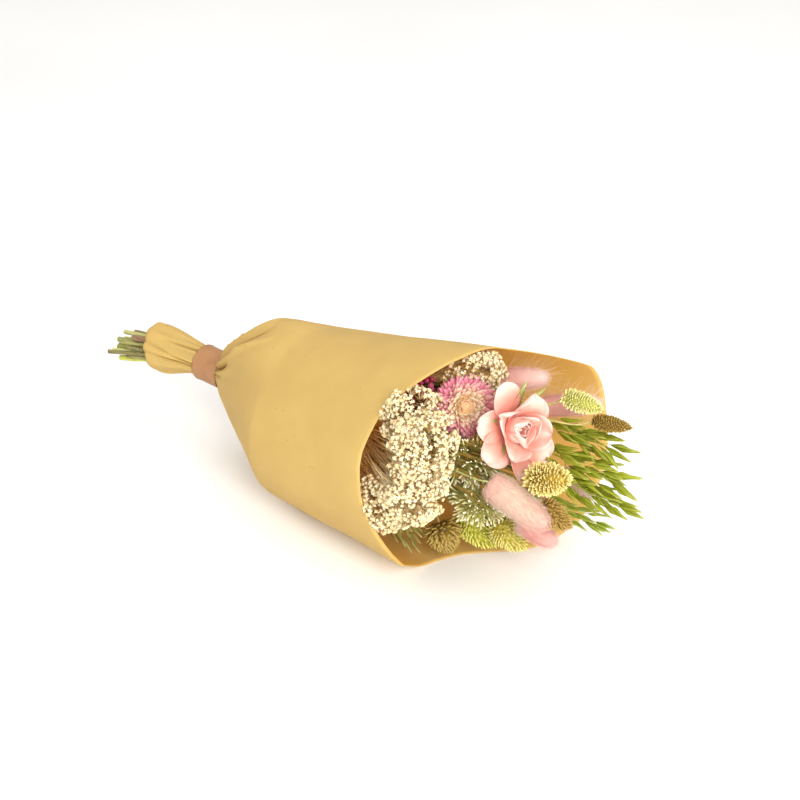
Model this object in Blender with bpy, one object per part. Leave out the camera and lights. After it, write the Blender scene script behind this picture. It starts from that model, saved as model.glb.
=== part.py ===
"""Dried flower bouquet rolled in a kraft paper wrap, lying on its side.

Metres, +Z up. The bunch lies along X, cut stem ends at -X and flowers at +X, and the underside of
the wrap rests on z = 0. Each grown sprig is one swept solid from its cut end to the tip of its head.
All places are first given in the bunch's own frame, in millimetres: x from the rear edge of the paper
band, y across, z up from the floor. The last step puts the origin under the middle of the box.
"""

import math

import bmesh
import bpy
import numpy as np

MM = 0.001
GAP = 0.35  # free space kept between neighbours, mm

# Neck of the bunch, where the tie and the paper band hold it
NECK_HEIGHT = 59.0
BAND_WIDTH = 24.0
BAND_THICKNESS = 0.5
TIE_WIDTH = 6.0
TIE_THICKNESS = 1.0
TIE_START = 9.0
TIE_SIDES = 32

# Kraft paper wrap: one rolled sheet
PAPER = 0.6
COLLAR_LENGTH = 41.0
COLLAR_RADIUS = 17.5
COLLAR_HEIGHT = 54.5
SHOULDER_X = 106.0
SHOULDER_RADIUS = 60.7
WRAP_TAPER = 0.1185  # radius gained per length, shoulder to mouth
FLOOR_SINK = 0.95  # height of the wrap's axis as a share of its radius, so its underside is flat
GATHER_RISE = 3.0  # how far the gathered paper stands out right in front of the band
CREST_ANGLE = 85.0  # where the gathered paper rises quickest from the band
CREST_SPEED = 2.4
FLARE_SWELL = 0.12  # how far the rest of the flare follows the crest
SEAM_ANGLE = -167.0
SEAM_LAP = 26.0
# Mouth edge of the sheet: (angle round the axis, x). 0 is the far side, 90 the top, 180 the near side
MOUTH_EDGE = (
    (-90, 234), (-76, 250), (-62, 274), (-45, 287), (-20, 290), (10, 287), (38, 288), (49, 289),
    (57, 262), (68, 238), (88, 235), (110, 225), (130, 212), (158, 209), (180, 216), (202, 229),
    (219, 237), (231, 226), (254, 225), (270, 234),
)
WRAP_COLUMNS = 54
WRAP_ROWS_MOUTH = 5
PLEATS = 9
PLEAT_DEPTH = 0.09  # share of the radius

STEM_SIDES = 8
STEM_STEP = 36.0
CUT_END = -73.0
CUT_STAGGER = 9.0
CUT_SPLAY = 0.6  # share by which the bundle opens out towards the cut ends
CUT_DROP = 11.0  # the cut ends hang a little and lean to the near side
CUT_DRIFT = -7.0

# Head outlines: (share of the head's length from its base, share of its radius)
SPIKE = ((0.0, 0.35), (0.12, 0.78), (0.35, 1.0), (0.62, 0.9), (0.86, 0.5))
TAIL = ((0.0, 0.4), (0.1, 0.85), (0.35, 1.0), (0.68, 0.9), (0.9, 0.5))
UMBEL = ((0.0, 0.08), (0.3, 0.45), (0.55, 0.95), (0.75, 1.0), (0.92, 0.62))
PANICLE = ((0.0, 0.14), (0.2, 0.7), (0.45, 1.0), (0.75, 0.75), (0.93, 0.32))
BUTTON = ((0.0, 0.18), (0.25, 0.75), (0.5, 1.0), (0.75, 0.86), (0.94, 0.45))
CALYX = ((0.0, 1.0), (0.55, 1.9), (0.85, 3.0), (1.0, 3.2))

# Kinds of sprig: (head outline, sides of the sweep, stem radius, colour, roughness)
KINDS = {
    "bunny_tail": (TAIL, STEM_SIDES, 0.75, (0.93, 0.62, 0.60), 0.95),
    "canary_grass": (SPIKE, STEM_SIDES, 0.8, (0.72, 0.70, 0.30), 0.85),
    "broom_bloom": (UMBEL, STEM_SIDES, 1.1, (0.92, 0.84, 0.64), 0.9),
    "white_statice": (UMBEL, STEM_SIDES, 1.1, (0.62, 0.66, 0.40), 0.9),
    "oat": (PANICLE, STEM_SIDES, 0.95, (0.45, 0.55, 0.12), 0.7),
    "strawflower": (BUTTON, 12, 1.4, (0.90, 0.45, 0.55), 0.6),
    "burgundy_statice": (UMBEL, STEM_SIDES, 1.3, (0.35, 0.05, 0.10), 0.9),
}

# Every sprig: kind, head base, head tip, head radius (mm)
SPRIGS = (
    ("bunny_tail", (230, 31, 116), (272, 36, 131), 7.5),
    ("bunny_tail", (264, 38, 107), (308, 42, 124), 7.0),
    ("bunny_tail", (279, -32, 92), (322, -29, 77), 9.5),
    ("bunny_tail", (283, -5, 52), (311, -4, 47), 7.5),
    ("bunny_tail", (270, 18, 56), (306, 18, 44), 6.5),
    ("bunny_tail", (286, 30, 71), (320, 27, 69), 6.5),
    ("canary_grass", (294, 22, 132), (326, 16, 138), 6.5),
    ("canary_grass", (314, 23, 123), (346, 19, 132), 5.5),
    ("canary_grass", (301, -17, 96), (332, -24, 112), 9.5),
    ("canary_grass", (301, -9, 72), (325, -9, 67), 7.0),
    ("canary_grass", (261, 2, 38), (283, 6, 23), 8.0),
    ("canary_grass", (233, 4, 33), (260, 5, 14), 8.5),
    ("canary_grass", (228, -15, 31), (240, -17, 14), 8.0),
    ("broom_bloom", (210, -27, 111), (228, -41, 121), 12.0),
    ("broom_bloom", (230, -43, 105), (249, -51, 112), 13.0),
    ("broom_bloom", (226, -49, 79), (246, -58, 80), 13.0),
    ("broom_bloom", (204, -52, 62), (222, -60, 64), 9.0),
    ("broom_bloom", (206, 13, 114), (226, 16, 126), 12.0),
    ("white_statice", (240, -12, 88), (262, -20, 95), 11.0),
    ("white_statice", (250, -20, 66), (272, -26, 68), 10.0),
    ("white_statice", (262, 2, 76), (284, -3, 80), 9.0),
    ("oat", (275, 30, 104), (341, 17, 114), 7.0),
    ("oat", (270, 21, 90), (362, 4, 102), 7.5),
    ("oat", (290, 13, 82), (363, 3, 86), 6.0),
    ("oat", (286, 8, 64), (342, 6, 66), 6.0),
    ("oat", (190, -32, 44), (222, -30, 22), 6.0),
    ("strawflower", (236, -4, 116), (251, -17, 126), 17.5),
    ("burgundy_statice", (200, -12, 118), (214, -16, 122), 6.0),
)

# Rose: its petals are nested open cups, cut into separate sectors
ROSE_BASE = (270.0, -1.0, 113.0)
ROSE_AXIS = (0.86, -0.42, 0.30)
ROSE_STEM_RADIUS = 2.0
CALYX_LENGTH = 9.0
ROSE_CORE = ((0.5, 2.0), (5.0, 5.2), (11.0, 7.0), (17.0, 5.6), (21.0, 2.6), (22.0, 0.0))
PETAL_THICKNESS = 0.7
PETAL_LAP = 0.93  # share of its sector that a petal fills
# Cup name, petals in it, first petal's angle, (height, radius) outline from base to lip
ROSE_CUPS = (
    ("inner", 3, 20.0, ((0.6, 3.6), (5.0, 7.6), (12.0, 9.6), (19.0, 10.6))),
    ("middle", 4, 65.0, ((0.6, 5.2), (4.2, 10.4), (10.5, 14.6), (17.5, 17.4))),
    ("outer", 5, 5.0, ((0.6, 7.2), (2.2, 13.0), (5.0, 19.4), (10.0, 25.5))),
)
PETAL_ROWS = 5
PETAL_COLUMNS = 5


def clear_scene():
    for obj in list(bpy.data.objects):
        bpy.data.objects.remove(obj)


def material(name, colour, roughness):
    made = bpy.data.materials.new(name)
    made.use_nodes = True
    shader = made.node_tree.nodes["Principled BSDF"]
    shader.inputs["Base Color"].default_value = (*colour, 1.0)
    shader.inputs["Roughness"].default_value = roughness
    shader.inputs["Metallic"].default_value = 0.0
    return made


def add_object(name, mesh, finish):
    mesh.materials.append(finish)
    obj = bpy.data.objects.new(name, mesh)
    bpy.context.scene.collection.objects.link(obj)
    return obj


def unit(vector):
    vector = np.asarray(vector, float)
    return vector / np.linalg.norm(vector)


def smooth_step(value, low, high):
    share = np.clip((value - low) / (high - low), 0.0, 1.0)
    return share * share * (3.0 - 2.0 * share)


# ---------------------------------------------------------------- swept solids


def swept_mesh(name, centres, radii, sides, pointed=True):
    """A closed round solid along centres; the last centre is a point when pointed."""
    centres = np.asarray(centres, float)
    tangents = np.gradient(centres, axis=0)
    side_way = np.cross(unit(tangents[0]), (0.0, 0.0, 1.0))
    mesh = bmesh.new()
    rings = []
    last = len(centres) - (1 if pointed else 0)
    for centre, tangent, radius in zip(centres[:last], tangents, radii):
        along = unit(tangent)
        side_way = unit(side_way - along * np.dot(side_way, along))
        up_way = np.cross(along, side_way)
        ring = []
        for k in range(sides):
            turn = 2.0 * math.pi * k / sides
            place = centre + radius * (math.cos(turn) * side_way + math.sin(turn) * up_way)
            ring.append(mesh.verts.new(place * MM))
        rings.append(ring)
    for near, far in zip(rings, rings[1:]):
        for k in range(sides):
            after = (k + 1) % sides
            mesh.faces.new((near[k], near[after], far[after], far[k]))
    mesh.faces.new(rings[0])
    if pointed:
        tip = mesh.verts.new(centres[-1] * MM)
        for k in range(sides):
            mesh.faces.new((rings[-1][k], rings[-1][(k + 1) % sides], tip))
    else:
        mesh.faces.new(rings[-1])
    bmesh.ops.recalc_face_normals(mesh, faces=mesh.faces)
    data = bpy.data.meshes.new(name)
    mesh.to_mesh(data)
    mesh.free()
    data.shade_smooth()
    return data


# ---------------------------------------------------------------- how the stems lie


def wrap_radius(x):
    """Outer radius of the wrap from its shoulder to its mouth, before its underside is flattened."""
    return SHOULDER_RADIUS + WRAP_TAPER * (x - SHOULDER_X)


def pack_neck(wanted, radii):
    """Slots of the stems in the neck: pulled together about its middle until they lie side by side."""
    places = np.array(wanted, float)
    for step in range(900):
        places *= 0.995
        for _ in range(3):
            apart = places[:, None] - places[None]
            far = np.linalg.norm(apart, axis=2) + np.eye(len(places)) * 1e6
            short = np.maximum(radii[:, None] + radii[None] + GAP - far, 0.0)
            places += 0.5 * (apart / far[..., None] * short[..., None]).sum(axis=1)
    return places


def head_balls(base, tip, radius, outline):
    """Balls that stand for a head while the stems are laid past it."""
    base, tip = np.array(base, float), np.array(tip, float)
    shares = np.linspace(0.0, 1.0, 9)
    known = [s for s, _ in outline] + [1.0]
    sizes = [w for _, w in outline] + [0.1]
    widths = np.interp(shares, known, sizes) * radius
    return [(base + (tip - base) * s, w) for s, w in zip(shares, widths)]


def first_line(slot, base, axis):
    """Control points of a stem before the stems are laid past each other: x, y, z from neck to head."""
    start = np.array((BAND_WIDTH, slot[0], NECK_HEIGHT + slot[1]))
    base = np.array(base, float)
    approach = base - 12.0 * unit(axis)
    count = max(3, int(round((approach[0] - start[0]) / STEM_STEP)) + 1)
    run = np.linspace(0.0, 1.0, count)[:, None]
    return np.vstack([start + (approach - start) * run, base])


def lay_stems(lines, radii, balls):
    """Moves the stems' free points across the bunch until each clears the others and every other head."""
    stations = np.arange(BAND_WIDTH + 8.0, 330.0, 6.0)
    weights = []
    for line in lines:
        xs = line[:, 0]
        inside = (stations <= xs[-1]) & (np.arange(len(stations)) >= 0)
        rows = np.zeros((len(stations), len(xs)))
        for row in np.flatnonzero(inside):
            after = int(np.clip(np.searchsorted(xs, stations[row]), 1, len(xs) - 1))
            share = (stations[row] - xs[after - 1]) / (xs[after] - xs[after - 1])
            rows[row, after - 1], rows[row, after] = 1.0 - share, share
        weights.append(rows)
    present = np.array([rows.sum(axis=1) > 0.5 for rows in weights])
    for _ in range(260):
        places = np.array([rows @ line[:, 1:] for rows, line in zip(weights, lines)])
        moves = np.zeros_like(places)
        for column, x in enumerate(stations):
            here = np.flatnonzero(present[:, column])
            if len(here) < 1:
                continue
            at = places[here, column]
            apart = at[:, None] - at[None]
            far = np.linalg.norm(apart, axis=2) + np.eye(len(here)) * 1e6
            reach = radii[here]
            short = np.maximum(1.12 * (reach[:, None] + reach[None]) + 0.6 - far, 0.0)
            moves[here, column] += 0.5 * (apart / far[..., None] * short[..., None]).sum(axis=1)
            for owner, centre, size in balls:
                half = size * size - (x - centre[0]) ** 2
                if half <= 0.0:
                    continue
                away = at - centre[1:]
                distance = np.linalg.norm(away, axis=1) + 1e-9
                lack = np.maximum(math.sqrt(half) + reach + 1.0 - distance, 0.0)
                lack[here == owner] = 0.0
                moves[here, column] += away / distance[:, None] * lack[:, None]
            middle = np.array((0.0, max(FLOOR_SINK * wrap_radius(x), NECK_HEIGHT)))
            out = at - middle
            distance = np.linalg.norm(out, axis=1) + 1e-9
            room = wrap_radius(max(x, SHOULDER_X)) * smooth_step(x, -10.0, 95.0) - 3.5
            over = np.maximum(distance + reach - room, 0.0)
            moves[here, column] -= out / distance[:, None] * over[:, None]
            low = np.maximum(reach + 2.5 - at[:, 1], 0.0) if x > SHOULDER_X else 0.0
            moves[here, column, 1] += low
        for line, rows, move in zip(lines, weights, moves):
            free = slice(1, len(line) - 1)
            share = rows.sum(axis=0) + 1e-9
            line[free, 1:] += 0.7 * ((rows.T @ move) / share[:, None])[free]
            even = 0.5 * (line[:-2, 1:] + line[2:, 1:])
            line[free, 1:] += 0.06 * (even - line[free, 1:])
    return lines


# ---------------------------------------------------------------- the sprigs


def sprig_names():
    counts = {}
    for kind, *_ in SPRIGS:
        counts[kind] = counts.get(kind, 0) + 1
        alone = kind in ("strawflower", "burgundy_statice")
        yield kind if alone else f"{kind}_{counts[kind]}"


def build_sprigs():
    """Every sprig and the rose's stem. Returns the radius of the bundle in the neck."""
    bases = [base for _, base, _, _ in SPRIGS] + [ROSE_BASE]
    axes = [np.subtract(tip, base) for _, base, tip, _ in SPRIGS] + [np.array(ROSE_AXIS)]
    radii = np.array([KINDS[kind][2] for kind, *_ in SPRIGS] + [ROSE_STEM_RADIUS])
    wanted = [
        (30.0 * b[1] / (b[0] - BAND_WIDTH), 30.0 * (b[2] - NECK_HEIGHT) / (b[0] - BAND_WIDTH))
        for b in bases
    ]
    slots = pack_neck(wanted, radii)
    lines = [first_line(slot, base, axis) for slot, base, axis in zip(slots, bases, axes)]
    balls = []
    for owner, (kind, base, tip, radius) in enumerate(SPRIGS):
        for centre, size in head_balls(base, tip, radius, KINDS[kind][0]):
            balls.append((owner, centre, size))
    rose = len(SPRIGS)
    for height, size in ((4.0, 13.0), (9.0, 22.0), (15.0, 21.0)):
        balls.append((rose, np.array(ROSE_BASE) + height * unit(ROSE_AXIS), size))
    lay_stems(lines, radii, balls)

    finishes = {
        kind: material(kind, colour, roughness)
        for kind, (_, _, _, colour, roughness) in KINDS.items()
    }
    for index, (name, sprig) in enumerate(zip(sprig_names(), SPRIGS)):
        kind, base, tip, radius = sprig
        outline, sides, stem_radius = KINDS[kind][:3]
        base, tip = np.array(base, float), np.array(tip, float)
        head = [base + (tip - base) * share for share, _ in outline[1:]] + [tip]
        widths = [radius * width for _, width in outline[1:]] + [0.0]
        centres = np.vstack([neck_run(slots[index], index), lines[index], head])
        stem = [stem_radius] * (len(centres) - len(head))
        add_object(name, swept_mesh(name, centres, stem + widths, sides), finishes[kind])
    stem_finish = material("rose_stem", (0.45, 0.50, 0.22), 0.7)
    axis = unit(ROSE_AXIS)
    calyx = [np.array(ROSE_BASE) + CALYX_LENGTH * (share - 1.0) * axis for share, _ in CALYX]
    run = np.vstack([neck_run(slots[rose], rose), lines[rose][:-1], calyx])
    widths = [ROSE_STEM_RADIUS] * (len(run) - len(CALYX)) + [ROSE_STEM_RADIUS * w for _, w in CALYX]
    add_object("rose_stem", swept_mesh("rose_stem", run, widths, STEM_SIDES, pointed=False), stem_finish)
    return float(np.max(np.linalg.norm(slots, axis=1) + radii))


def neck_run(slot, index):
    """Centres of a stem from its cut end to the rear edge of the band. The cut ends are staggered."""
    end = CUT_END + CUT_STAGGER * math.sin(2.4 * index)
    places = []
    for x in (end, 0.5 * CUT_END, 0.0):
        share = x / CUT_END
        splay = np.array(slot) * (1.0 + CUT_SPLAY * share**1.5)
        across = splay[0] + CUT_DRIFT * share**1.5
        places.append((x, across, NECK_HEIGHT - CUT_DROP * share**1.3 + splay[1]))
    return np.array(places)


# ---------------------------------------------------------------- the rose's petals


def curve_through(points, count):
    """Places spread evenly along the smooth line through points."""
    points = np.array(points, float)
    ends = np.vstack([2 * points[0] - points[1], points, 2 * points[-1] - points[-2]])
    made = []
    for share in np.linspace(0.0, len(points) - 1.0, count):
        k = min(int(share), len(points) - 2)
        t = share - k
        a, b, c, d = ends[k : k + 4]
        made.append(
            0.5 * (2 * b + (c - a) * t + (2 * a - 5 * b + 4 * c - d) * t**2 + (3 * b - a - 3 * c + d) * t**3)
        )
    return np.array(made)


def rose_ways():
    """The rose's axis and two directions across it."""
    axis = unit(ROSE_AXIS)
    across = unit(np.cross((0.0, 0.0, 1.0), axis))
    return axis, across, np.cross(axis, across)


def add_petal(name, outline, middle_turn, half_turn, finish):
    """One petal: a rounded sector of its cup, as a sheet that Solidify makes thick."""
    axis, across, upward = rose_ways()
    profile = curve_through(outline, PETAL_ROWS)
    mesh = bmesh.new()
    rows = []
    for row, (height, radius) in enumerate(profile):
        share = row / (PETAL_ROWS - 1)
        width = half_turn * (0.45 + 0.55 * math.sin(min(1.0, 1.5 * share) * math.pi / 2))
        cells = []
        for column in range(PETAL_COLUMNS):
            side = 2.0 * column / (PETAL_COLUMNS - 1) - 1.0
            turn = middle_turn + side * width
            lift = height - (profile[-1][0] - profile[0][0]) * 0.28 * share**2 * side**2
            out = math.cos(turn) * across + math.sin(turn) * upward
            place = np.array(ROSE_BASE) + lift * axis + radius * out
            cells.append(mesh.verts.new(place * MM))
        rows.append(cells)
    for near, far in zip(rows, rows[1:]):
        for k in range(PETAL_COLUMNS - 1):
            mesh.faces.new((near[k], near[k + 1], far[k + 1], far[k]))
    data = bpy.data.meshes.new(name)
    mesh.to_mesh(data)
    mesh.free()
    obj = add_object(name, data, finish)
    thick = obj.modifiers.new("Thickness", "SOLIDIFY")
    thick.thickness = PETAL_THICKNESS * MM
    thick.offset = 0.0


def build_rose_head():
    finish = material("rose_petal", (0.93, 0.58, 0.52), 0.7)
    axis = unit(ROSE_AXIS)
    centres = [np.array(ROSE_BASE) + height * axis for height, _ in ROSE_CORE]
    core = swept_mesh("rose_core", centres, [radius for _, radius in ROSE_CORE], STEM_SIDES)
    add_object("rose_core", core, finish)
    for cup, count, first, outline in ROSE_CUPS:
        half_turn = math.pi / count * PETAL_LAP
        for k in range(count):
            turn = math.radians(first) + 2.0 * math.pi * k / count
            add_petal(f"rose_petal_{cup}_{k + 1}", outline, turn, half_turn, finish)


# ---------------------------------------------------------------- paper and tie


def rolled_sheet(name, stations, columns, seam, lap, thickness, place, finish):
    """A rolled sheet: a grid of points given by place(x share, angle), made thick inwards."""
    mesh = bmesh.new()
    grid = []
    for share in stations:
        row = []
        for column in range(columns + 1):
            angle = seam + (360.0 + lap) * column / columns
            row.append(mesh.verts.new(np.array(place(share, angle)) * MM))
        grid.append(row)
    for near, far in zip(grid, grid[1:]):
        for k in range(columns):
            mesh.faces.new((near[k], near[k + 1], far[k + 1], far[k]))
    data = bpy.data.meshes.new(name)
    mesh.to_mesh(data)
    mesh.free()
    obj = add_object(name, data, finish)
    thick = obj.modifiers.new("Thickness", "SOLIDIFY")
    thick.thickness = thickness * MM
    thick.offset = 1.0
    return obj


def lap_rise(angle, seam, lap, thickness):
    """How far the lapping end of a rolled sheet rides out over its beginning."""
    return (thickness + GAP) * float(smooth_step(angle, seam + 290.0, seam + 352.0))


def mouth_x(angle):
    angles = [a for a, _ in MOUTH_EDGE]
    places = [x for _, x in MOUTH_EDGE]
    return float(np.interp((angle + 90.0) % 360.0 - 90.0, angles, places))


def wrap_place(share, angle, neck_radius):
    """A point on the wrap's inner face. share runs 0 to 1 to the collar's front, 1 to 2 over the band,
    2 to 3 up the flare to the shoulder and 3 to 4 on to the mouth edge."""
    turn = math.radians(angle)
    front = BAND_WIDTH
    if share <= 1.0:
        x = -COLLAR_LENGTH * (1.0 - share)
        part = float(smooth_step(share, 0.0, 1.0))
        radius = COLLAR_RADIUS + (neck_radius - COLLAR_RADIUS) * part
        height = COLLAR_HEIGHT + (NECK_HEIGHT - COLLAR_HEIGHT) * part
        pleat = PLEAT_DEPTH * math.sin(math.pi * share) * 0.8
    elif share <= 2.0:
        x = front * (share - 1.0)
        radius, height, pleat = neck_radius, NECK_HEIGHT, 0.0
    elif share <= 3.0:
        part = share - 2.0
        x = front + (SHOULDER_X - front) * part
        crest = max(0.0, math.cos(turn - math.radians(CREST_ANGLE))) ** 2
        quick = 1.0 - (1.0 - part) ** CREST_SPEED
        slow = part**1.2
        grown = slow + (quick - slow) * (FLARE_SWELL + (1.0 - FLARE_SWELL) * crest)
        shoulder = wrap_radius(SHOULDER_X)
        gathered = neck_radius + GATHER_RISE * (1.0 + crest) * float(smooth_step(part, 0.0, 0.1))
        radius = gathered + (shoulder - gathered) * grown
        height = NECK_HEIGHT + (FLOOR_SINK * shoulder - NECK_HEIGHT) * part
        pleat = PLEAT_DEPTH * math.sin(math.pi * part) * (1.0 - part)
    else:
        x = SHOULDER_X + (mouth_x(angle) - SHOULDER_X) * (share - 3.0)
        radius = wrap_radius(x)
        height = FLOOR_SINK * radius
        pleat = 0.0
    radius *= 1.0 + pleat * math.cos(PLEATS * turn)
    radius += lap_rise(angle, SEAM_ANGLE, SEAM_LAP, PAPER) - PAPER
    z = max(height + radius * math.sin(turn), PAPER)
    return x, radius * math.cos(turn), z


def build_wrap(neck_radius):
    finish = material("kraft_paper", (0.80, 0.58, 0.26), 0.85)
    stations = [0.0, 0.25, 0.5, 0.75, 1.0, 2.0, 2.1, 2.25, 2.4, 2.55, 2.7, 2.85, 3.0]
    stations += [3.0 + (k + 1) / WRAP_ROWS_MOUTH for k in range(WRAP_ROWS_MOUTH)]
    rolled_sheet(
        "kraft_wrap", stations, WRAP_COLUMNS, SEAM_ANGLE, SEAM_LAP, PAPER,
        lambda share, angle: wrap_place(share, angle, neck_radius), finish,
    )


def build_band(inner_radius):
    """The label strip round the neck: a rolled strip whose end laps its beginning."""
    seam, lap = -120.0, 40.0

    def place(share, angle):
        radius = inner_radius + lap_rise(angle, seam, lap, BAND_THICKNESS)
        turn = math.radians(angle)
        x = 0.4 + (BAND_WIDTH - 0.8) * share
        return x, radius * math.cos(turn), NECK_HEIGHT + radius * math.sin(turn)

    finish = material("band_paper", (0.66, 0.36, 0.17), 0.7)
    rolled_sheet("paper_band", (0.0, 0.5, 1.0), 32, seam, lap, BAND_THICKNESS, place, finish)


def build_tie(inner_radius):
    """The elastic tie that holds the stems under the paper."""
    outer = inner_radius + TIE_THICKNESS
    end = TIE_START + TIE_WIDTH
    outline = ((TIE_START, inner_radius), (end, inner_radius), (end, outer), (TIE_START, outer))
    mesh = bmesh.new()
    rings = []
    for k in range(TIE_SIDES):
        turn = 2.0 * math.pi * k / TIE_SIDES
        ring = []
        for x, radius in outline:
            place = np.array((x, radius * math.cos(turn), NECK_HEIGHT + radius * math.sin(turn)))
            ring.append(mesh.verts.new(place * MM))
        rings.append(ring)
    for near, far in zip(rings, rings[1:] + rings[:1]):
        for k in range(len(outline)):
            after = (k + 1) % len(outline)
            mesh.faces.new((near[k], near[after], far[after], far[k]))
    bmesh.ops.recalc_face_normals(mesh, faces=mesh.faces)
    data = bpy.data.meshes.new("stem_tie")
    mesh.to_mesh(data)
    mesh.free()
    add_object("stem_tie", data, material("tie_rubber", (0.55, 0.40, 0.22), 0.6))


def centre_on_origin():
    """Moves everything along X and Y so that the origin is under the middle of the box."""
    bpy.context.view_layer.update()
    graph = bpy.context.evaluated_depsgraph_get()
    corners = []
    for obj in bpy.context.scene.objects:
        shown = obj.evaluated_get(graph)
        corners += [shown.matrix_world @ v.co for v in shown.data.vertices]
    corners = np.array(corners)
    middle = 0.5 * (corners.min(axis=0) + corners.max(axis=0))
    for obj in bpy.context.scene.objects:
        obj.location.x -= middle[0]
        obj.location.y -= middle[1]
        obj.location.z -= corners[:, 2].min()


def main():
    clear_scene()
    bundle = build_sprigs()
    build_rose_head()
    tie_radius = bundle + GAP
    neck_radius = tie_radius + TIE_THICKNESS + GAP + PAPER
    build_tie(tie_radius)
    build_wrap(neck_radius)
    build_band(neck_radius + PAPER + 2 * GAP)
    centre_on_origin()


main()
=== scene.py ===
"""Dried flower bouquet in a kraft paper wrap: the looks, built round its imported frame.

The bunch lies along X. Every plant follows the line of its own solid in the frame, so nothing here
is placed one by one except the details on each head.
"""

import math
import random

import bmesh
import bpy
import numpy as np
from bpy.props import FloatProperty, FloatVectorProperty, IntProperty, PointerProperty
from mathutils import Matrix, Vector, noise
from mathutils.bvhtree import BVHTree


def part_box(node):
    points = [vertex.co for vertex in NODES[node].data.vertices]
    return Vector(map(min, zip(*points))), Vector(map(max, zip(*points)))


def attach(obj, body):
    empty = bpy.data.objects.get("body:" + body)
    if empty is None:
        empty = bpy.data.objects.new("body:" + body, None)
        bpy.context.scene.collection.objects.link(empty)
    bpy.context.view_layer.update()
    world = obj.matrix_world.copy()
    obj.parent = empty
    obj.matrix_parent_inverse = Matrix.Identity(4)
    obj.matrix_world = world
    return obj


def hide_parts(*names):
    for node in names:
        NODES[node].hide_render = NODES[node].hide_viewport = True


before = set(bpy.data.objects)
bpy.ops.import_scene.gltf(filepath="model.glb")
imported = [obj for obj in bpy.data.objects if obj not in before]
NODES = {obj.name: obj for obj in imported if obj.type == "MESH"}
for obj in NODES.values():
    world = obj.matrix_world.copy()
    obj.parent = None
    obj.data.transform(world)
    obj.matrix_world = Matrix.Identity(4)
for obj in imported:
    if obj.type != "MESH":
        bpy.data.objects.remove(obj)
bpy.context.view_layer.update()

bl_info = {
    "name": "Dried Flower Bouquet",
    "version": (1, 0, 0),
    "blender": (4, 5, 0),
    "location": "View3D > Sidebar > Bouquet",
    "description": "Builds a dried flower bouquet in a kraft paper wrap",
    "category": "Add Mesh",
}

MM = 0.001
BAND_LOW, BAND_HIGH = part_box("paper_band")
NECK_X = (BAND_LOW.x + BAND_HIGH.x) / 2
TIE_LOW, TIE_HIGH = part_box("stem_tie")
NECK_Y, NECK_Z = (TIE_LOW.y + TIE_HIGH.y) / 2, (TIE_LOW.z + TIE_HIGH.z) / 2


# ---------------------------------------------------------------- settings


class BouquetPaperSettings(bpy.types.PropertyGroup):
    """Sizes and colours of the paper."""

    kraft: FloatVectorProperty(
        name="Kraft", description="Colour of the wrap", subtype="COLOR", size=3, min=0.0, max=1.0,
        default=(0.680, 0.545, 0.182),
    )
    band: FloatVectorProperty(
        name="Band", description="Colour of the strip round the neck", subtype="COLOR", size=3,
        min=0.0, max=1.0, default=(0.310, 0.140, 0.046),
    )
    thickness: FloatProperty(
        name="Thickness", description="Thickness of the kraft paper", default=0.00045, min=0.0001,
        unit="LENGTH",
    )


class BouquetFlowerSettings(bpy.types.PropertyGroup):
    """Sizes and colours of the plants."""

    seed: IntProperty(name="Seed", description="Starts every random choice", default=11)
    hair_count: IntProperty(
        name="Hairs", description="Hairs on one bunny tail", default=3600, min=10,
    )
    hair_length: FloatProperty(
        name="Hair Length", description="Length of a bunny tail's hairs", default=0.0044,
        unit="LENGTH",
    )
    scale_count: IntProperty(
        name="Scales", description="Scales on one canary grass head", default=230, min=10,
    )
    rose: FloatVectorProperty(
        name="Rose", description="Colour of the rose", subtype="COLOR", size=3, min=0.0, max=1.0,
        default=(0.920, 0.415, 0.330),
    )


class BouquetStageSettings(bpy.types.PropertyGroup):
    """The camera's place and the light."""

    azimuth: FloatProperty(
        name="Azimuth", description="Camera turned round the upright axis",
        default=math.radians(40.588), subtype="ANGLE",
    )
    elevation: FloatProperty(
        name="Elevation", description="Camera above the horizon", default=math.radians(30.562),
        subtype="ANGLE",
    )
    distance: FloatProperty(
        name="Distance", description="Camera to its aim", default=1.18401, unit="LENGTH",
    )
    lens: FloatProperty(
        name="Lens", description="Focal length in millimetres", default=77.082,
    )


SETTINGS = {
    "bouquet_paper": BouquetPaperSettings,
    "bouquet_flowers": BouquetFlowerSettings,
    "bouquet_stage": BouquetStageSettings,
}


# ---------------------------------------------------------------- lines and meshes


def unit(vector):
    vector = np.asarray(vector, float)
    return vector / (np.linalg.norm(vector) + 1e-12)


def ways_across(axis):
    """Two directions at right angles to axis and to each other."""
    axis = unit(axis)
    helper = (0.0, 0.0, 1.0) if abs(axis[2]) < 0.9 else (1.0, 0.0, 0.0)
    first = unit(np.cross(helper, axis))
    return first, np.cross(axis, first)


def way_round(turn, first, second):
    """The direction that turn gives in the plane of first and second."""
    return math.cos(turn) * first + math.sin(turn) * second


def shaken(size):
    """A small random vector."""
    return np.array([random.gauss(0, size) for _ in range(3)])


def scaled(colour, *shares):
    """The colour with each channel times its share, or all of them times one share."""
    return tuple(c * k for c, k in zip(colour, shares * (3 if len(shares) == 1 else 1)))


def lightened(colour, share, lift):
    return tuple(min(1.0, c * share + lift) for c in colour)


def smooth_step(value, low, high):
    share = np.clip((value - low) / (high - low), 0.0, 1.0)
    return share * share * (3.0 - 2.0 * share)


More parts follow.
